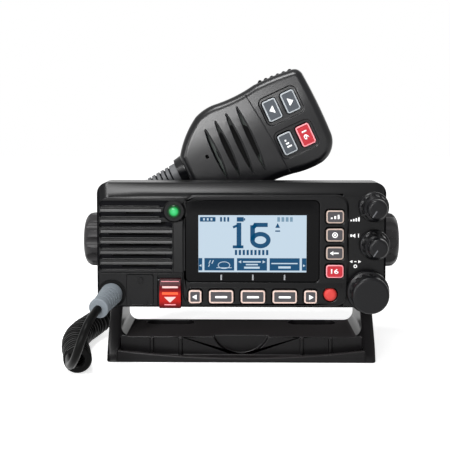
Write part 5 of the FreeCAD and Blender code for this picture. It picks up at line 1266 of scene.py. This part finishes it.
def mic_key(node, along, across, shapes, *finishes):
    half = Vector((MIC_KEY_WIDE_MM, 0, MIC_KEY_TALL_MM)) / 2
    middle = Vector((along, 0, across))
    low, high = middle - half, middle + half
    low.y, high.y = -MIC_KEY_RISE_MM, MIC_KEY_DEEP_MM
    cap = key_cap(f"{node}_cap", low * MM, high * MM, *finishes, border_mm=0.95)
    mark = prints(f"{node}_mark", ink_white, low.y + FIELD_STEP_MM, shapes)
    return stand_in(on_microphone(join(cap, mark)), node)


slate_finish = (silicone_slate, paint_silver, silicone_slate)
for name, row, turn, shift in (
        ("mic_key_up", UPPER_ROW_MM, 90, -0.2), ("mic_key_down", LOWER_ROW_MM, -90, 0.2)):
    arrow = triangle(row + shift, LEFT_COLUMN_MM, 5.4, 3.4, turn)
    mic_key(name, row, LEFT_COLUMN_MM, [arrow], *slate_finish)
bars = [bar(BARS_FOOT_MM + tall / 2, RIGHT_COLUMN_MM + shift, tall, 1.1)
        for shift, tall in ((2.2, 1.2), (0, 2.2), (-2.2, 3.2))]
mic_key("mic_key_power", LOWER_ROW_MM, RIGHT_COLUMN_MM, bars, *slate_finish)
channel_mark = numeral("16", 0, 0, 6, 3.4)
channel_mark.rotation_euler.y = math.radians(90)
channel_mark.location = Vector((UPPER_ROW_MM, 0, RIGHT_COLUMN_MM)) * MM
mic_key("mic_key_channel", UPPER_ROW_MM, RIGHT_COLUMN_MM, [settle(channel_mark)], silicone_red, paint_rose,
        silicone_red)

# %% Raised rims of the speaker slots, and the step before the keys
# Each slot is given as its place along the microphone and its length. A rim bows towards the keys.
SLOTS_MM = ((23.1, 34.8), (31.4, 39.3), (39.9, 42.3), (48.1, 44.2))
SLOT_MIDDLE_MM, SLOT_BOW_MM = -0.7, 1.8
RIM_STEPS, RIM_REACH_MM = 8, 0.6
STEP_ROUTE_MM = [(56.6, 0.3, 26.4), (58.6, 0.3, 10), (60.4, 0.3, -10), (62, 0.3, -32)]
rims = []
for place, length in SLOTS_MM:
    route = []
    for step in range(RIM_STEPS + 1):
        share = 2 * step / RIM_STEPS - 1
        across = SLOT_MIDDLE_MM + share * (length / 2 + RIM_REACH_MM)
        route.append((place + SLOT_BOW_MM * (1 - share ** 2), 0.15, across))
    rims.append(as_mesh(smooth_curve("slot_rim", route, 0.6, 4)))
rims.append(as_mesh(smooth_curve("step", STEP_ROUTE_MM, 0.55, 6)))
rims = join(*rims)
rims.name = "grille_rims"
dress(rims, pc_abs_mic)
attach(dome(on_microphone(rims)), "microphone")
print("grille faces:", len(rims.data.polygons))

# %% [markdown]
# ## Strain reliefs
#
# A strain relief is a tapering PVC sleeve with rings cut into it, so that it bends in an even curve. It is
# turned like the knobs, as one outline with a step down and up for each ring.

# %% Turned sleeves
RING_DEEP_MM, RING_WIDE_MM, RING_SLOPE_MM = 1.2, 1.2, 0.15


def sleeve(node, base_mm, tip_mm, length_mm, first_mm, pitch_mm, rings, start_mm, direction, material,
           collar_mm=()):
    """A ringed sleeve that starts at a place and points along a direction."""
    def radius(along):
        return base_mm + (tip_mm - base_mm) * along / length_mm

    outline = [(base_mm - 0.6, -2), (base_mm, 0.1)]
    for ring_number in range(rings):
        near = first_mm + ring_number * pitch_mm
        far = near + RING_WIDE_MM
        outline += [(radius(near), near), (radius(near) - RING_DEEP_MM, near + RING_SLOPE_MM),
                    (radius(far) - RING_DEEP_MM, far - RING_SLOPE_MM), (radius(far), far)]
    outline += list(collar_mm) or [(tip_mm, length_mm - 0.5)]
    outline += [(outline[-1][0] - 0.5, length_mm), (1, length_mm)]
    made = turned(f"{node}_turned", outline, 40)

    def ring_floor(face):
        spot = face.calc_center_median() / MM
        near_axis = math.hypot(spot.x, spot.z) < radius(-spot.y) - 0.6 * RING_DEEP_MM
        return near_axis and first_mm < -spot.y < first_mm + rings * pitch_mm and abs(face.normal.y) < 0.5

    # The floors of the rings get painted shade.
    dull(made, material, pvc_shade, ring_floor)
    made.location = Vector(start_mm) * MM
    made.rotation_euler = Vector((0, -1, 0)).rotation_difference(direction).to_euler()
    settle(made)
    return stand_in(smooth(made), node)


# %% The two sleeves
# The set's sleeve points out of the panel, a little to the left and down, and ends in a collar. The
# microphone's points along its length.
BOOT_LEFT_DEG, BOOT_DOWN_DEG = 12.2, 11.53
NECK_MM = Vector((-5.6, 16.5, -1))
boot_way = Vector((-math.tan(math.radians(BOOT_LEFT_DEG)), -1, -math.tan(math.radians(BOOT_DOWN_DEG))))
sleeve("radio_boot", 7, 5.4, 23.5, 5, 3.1, 5, (-80.2, -74, 48.1), boot_way.normalized(), pvc_light_grey,
       [(5.5, 20.3), (6.1, 20.5), (6.1, 23)])
neck = MIC_PLACE_MM + MIC_TURN @ NECK_MM
sleeve("mic_boot", 6.4, 4, 27, 4.5, 3.3, 6, neck, MIC_TURN @ Vector((-1, 0, 0)), pvc_dark_grey)

# %% [markdown]
# ## Marks beside the knobs
#
# Each knob has a plain sign for what it does: a growing row of bars, a little horn, and a pair of arrows over
# a ring.

# %% Signs on the panel
BARS_MM, WEDGE_MM, ARROWS_MM, RING_MM = 93.4, 84.5, 68.4, 65.5
signs = [bar(67.6 + 1.6 * step, BARS_MM + tall / 2, 0.9, tall)
         for step, tall in enumerate((0.9, 1.4, 1.9, 2.4))]
signs += [bar(67.7, WEDGE_MM, 1.2, 1.5), triangle(69.6, WEDGE_MM, 2.6, 1.9, -90),
          bar(72.2, WEDGE_MM, 0.5, 2.4)]
signs += [triangle(68, ARROWS_MM, 1.8, 1.8, -90), bar(70.4, ARROWS_MM, 1.4, 0.5),
          triangle(72.8, ARROWS_MM, 1.8, 1.8, 90), ring(70.4, RING_MM, 2.2, 2.2, 0.5)]
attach(prints("panel_signs", ink_white, PANEL_FRONT_MM, signs), "radio")
print(len(signs), "shapes in the signs")
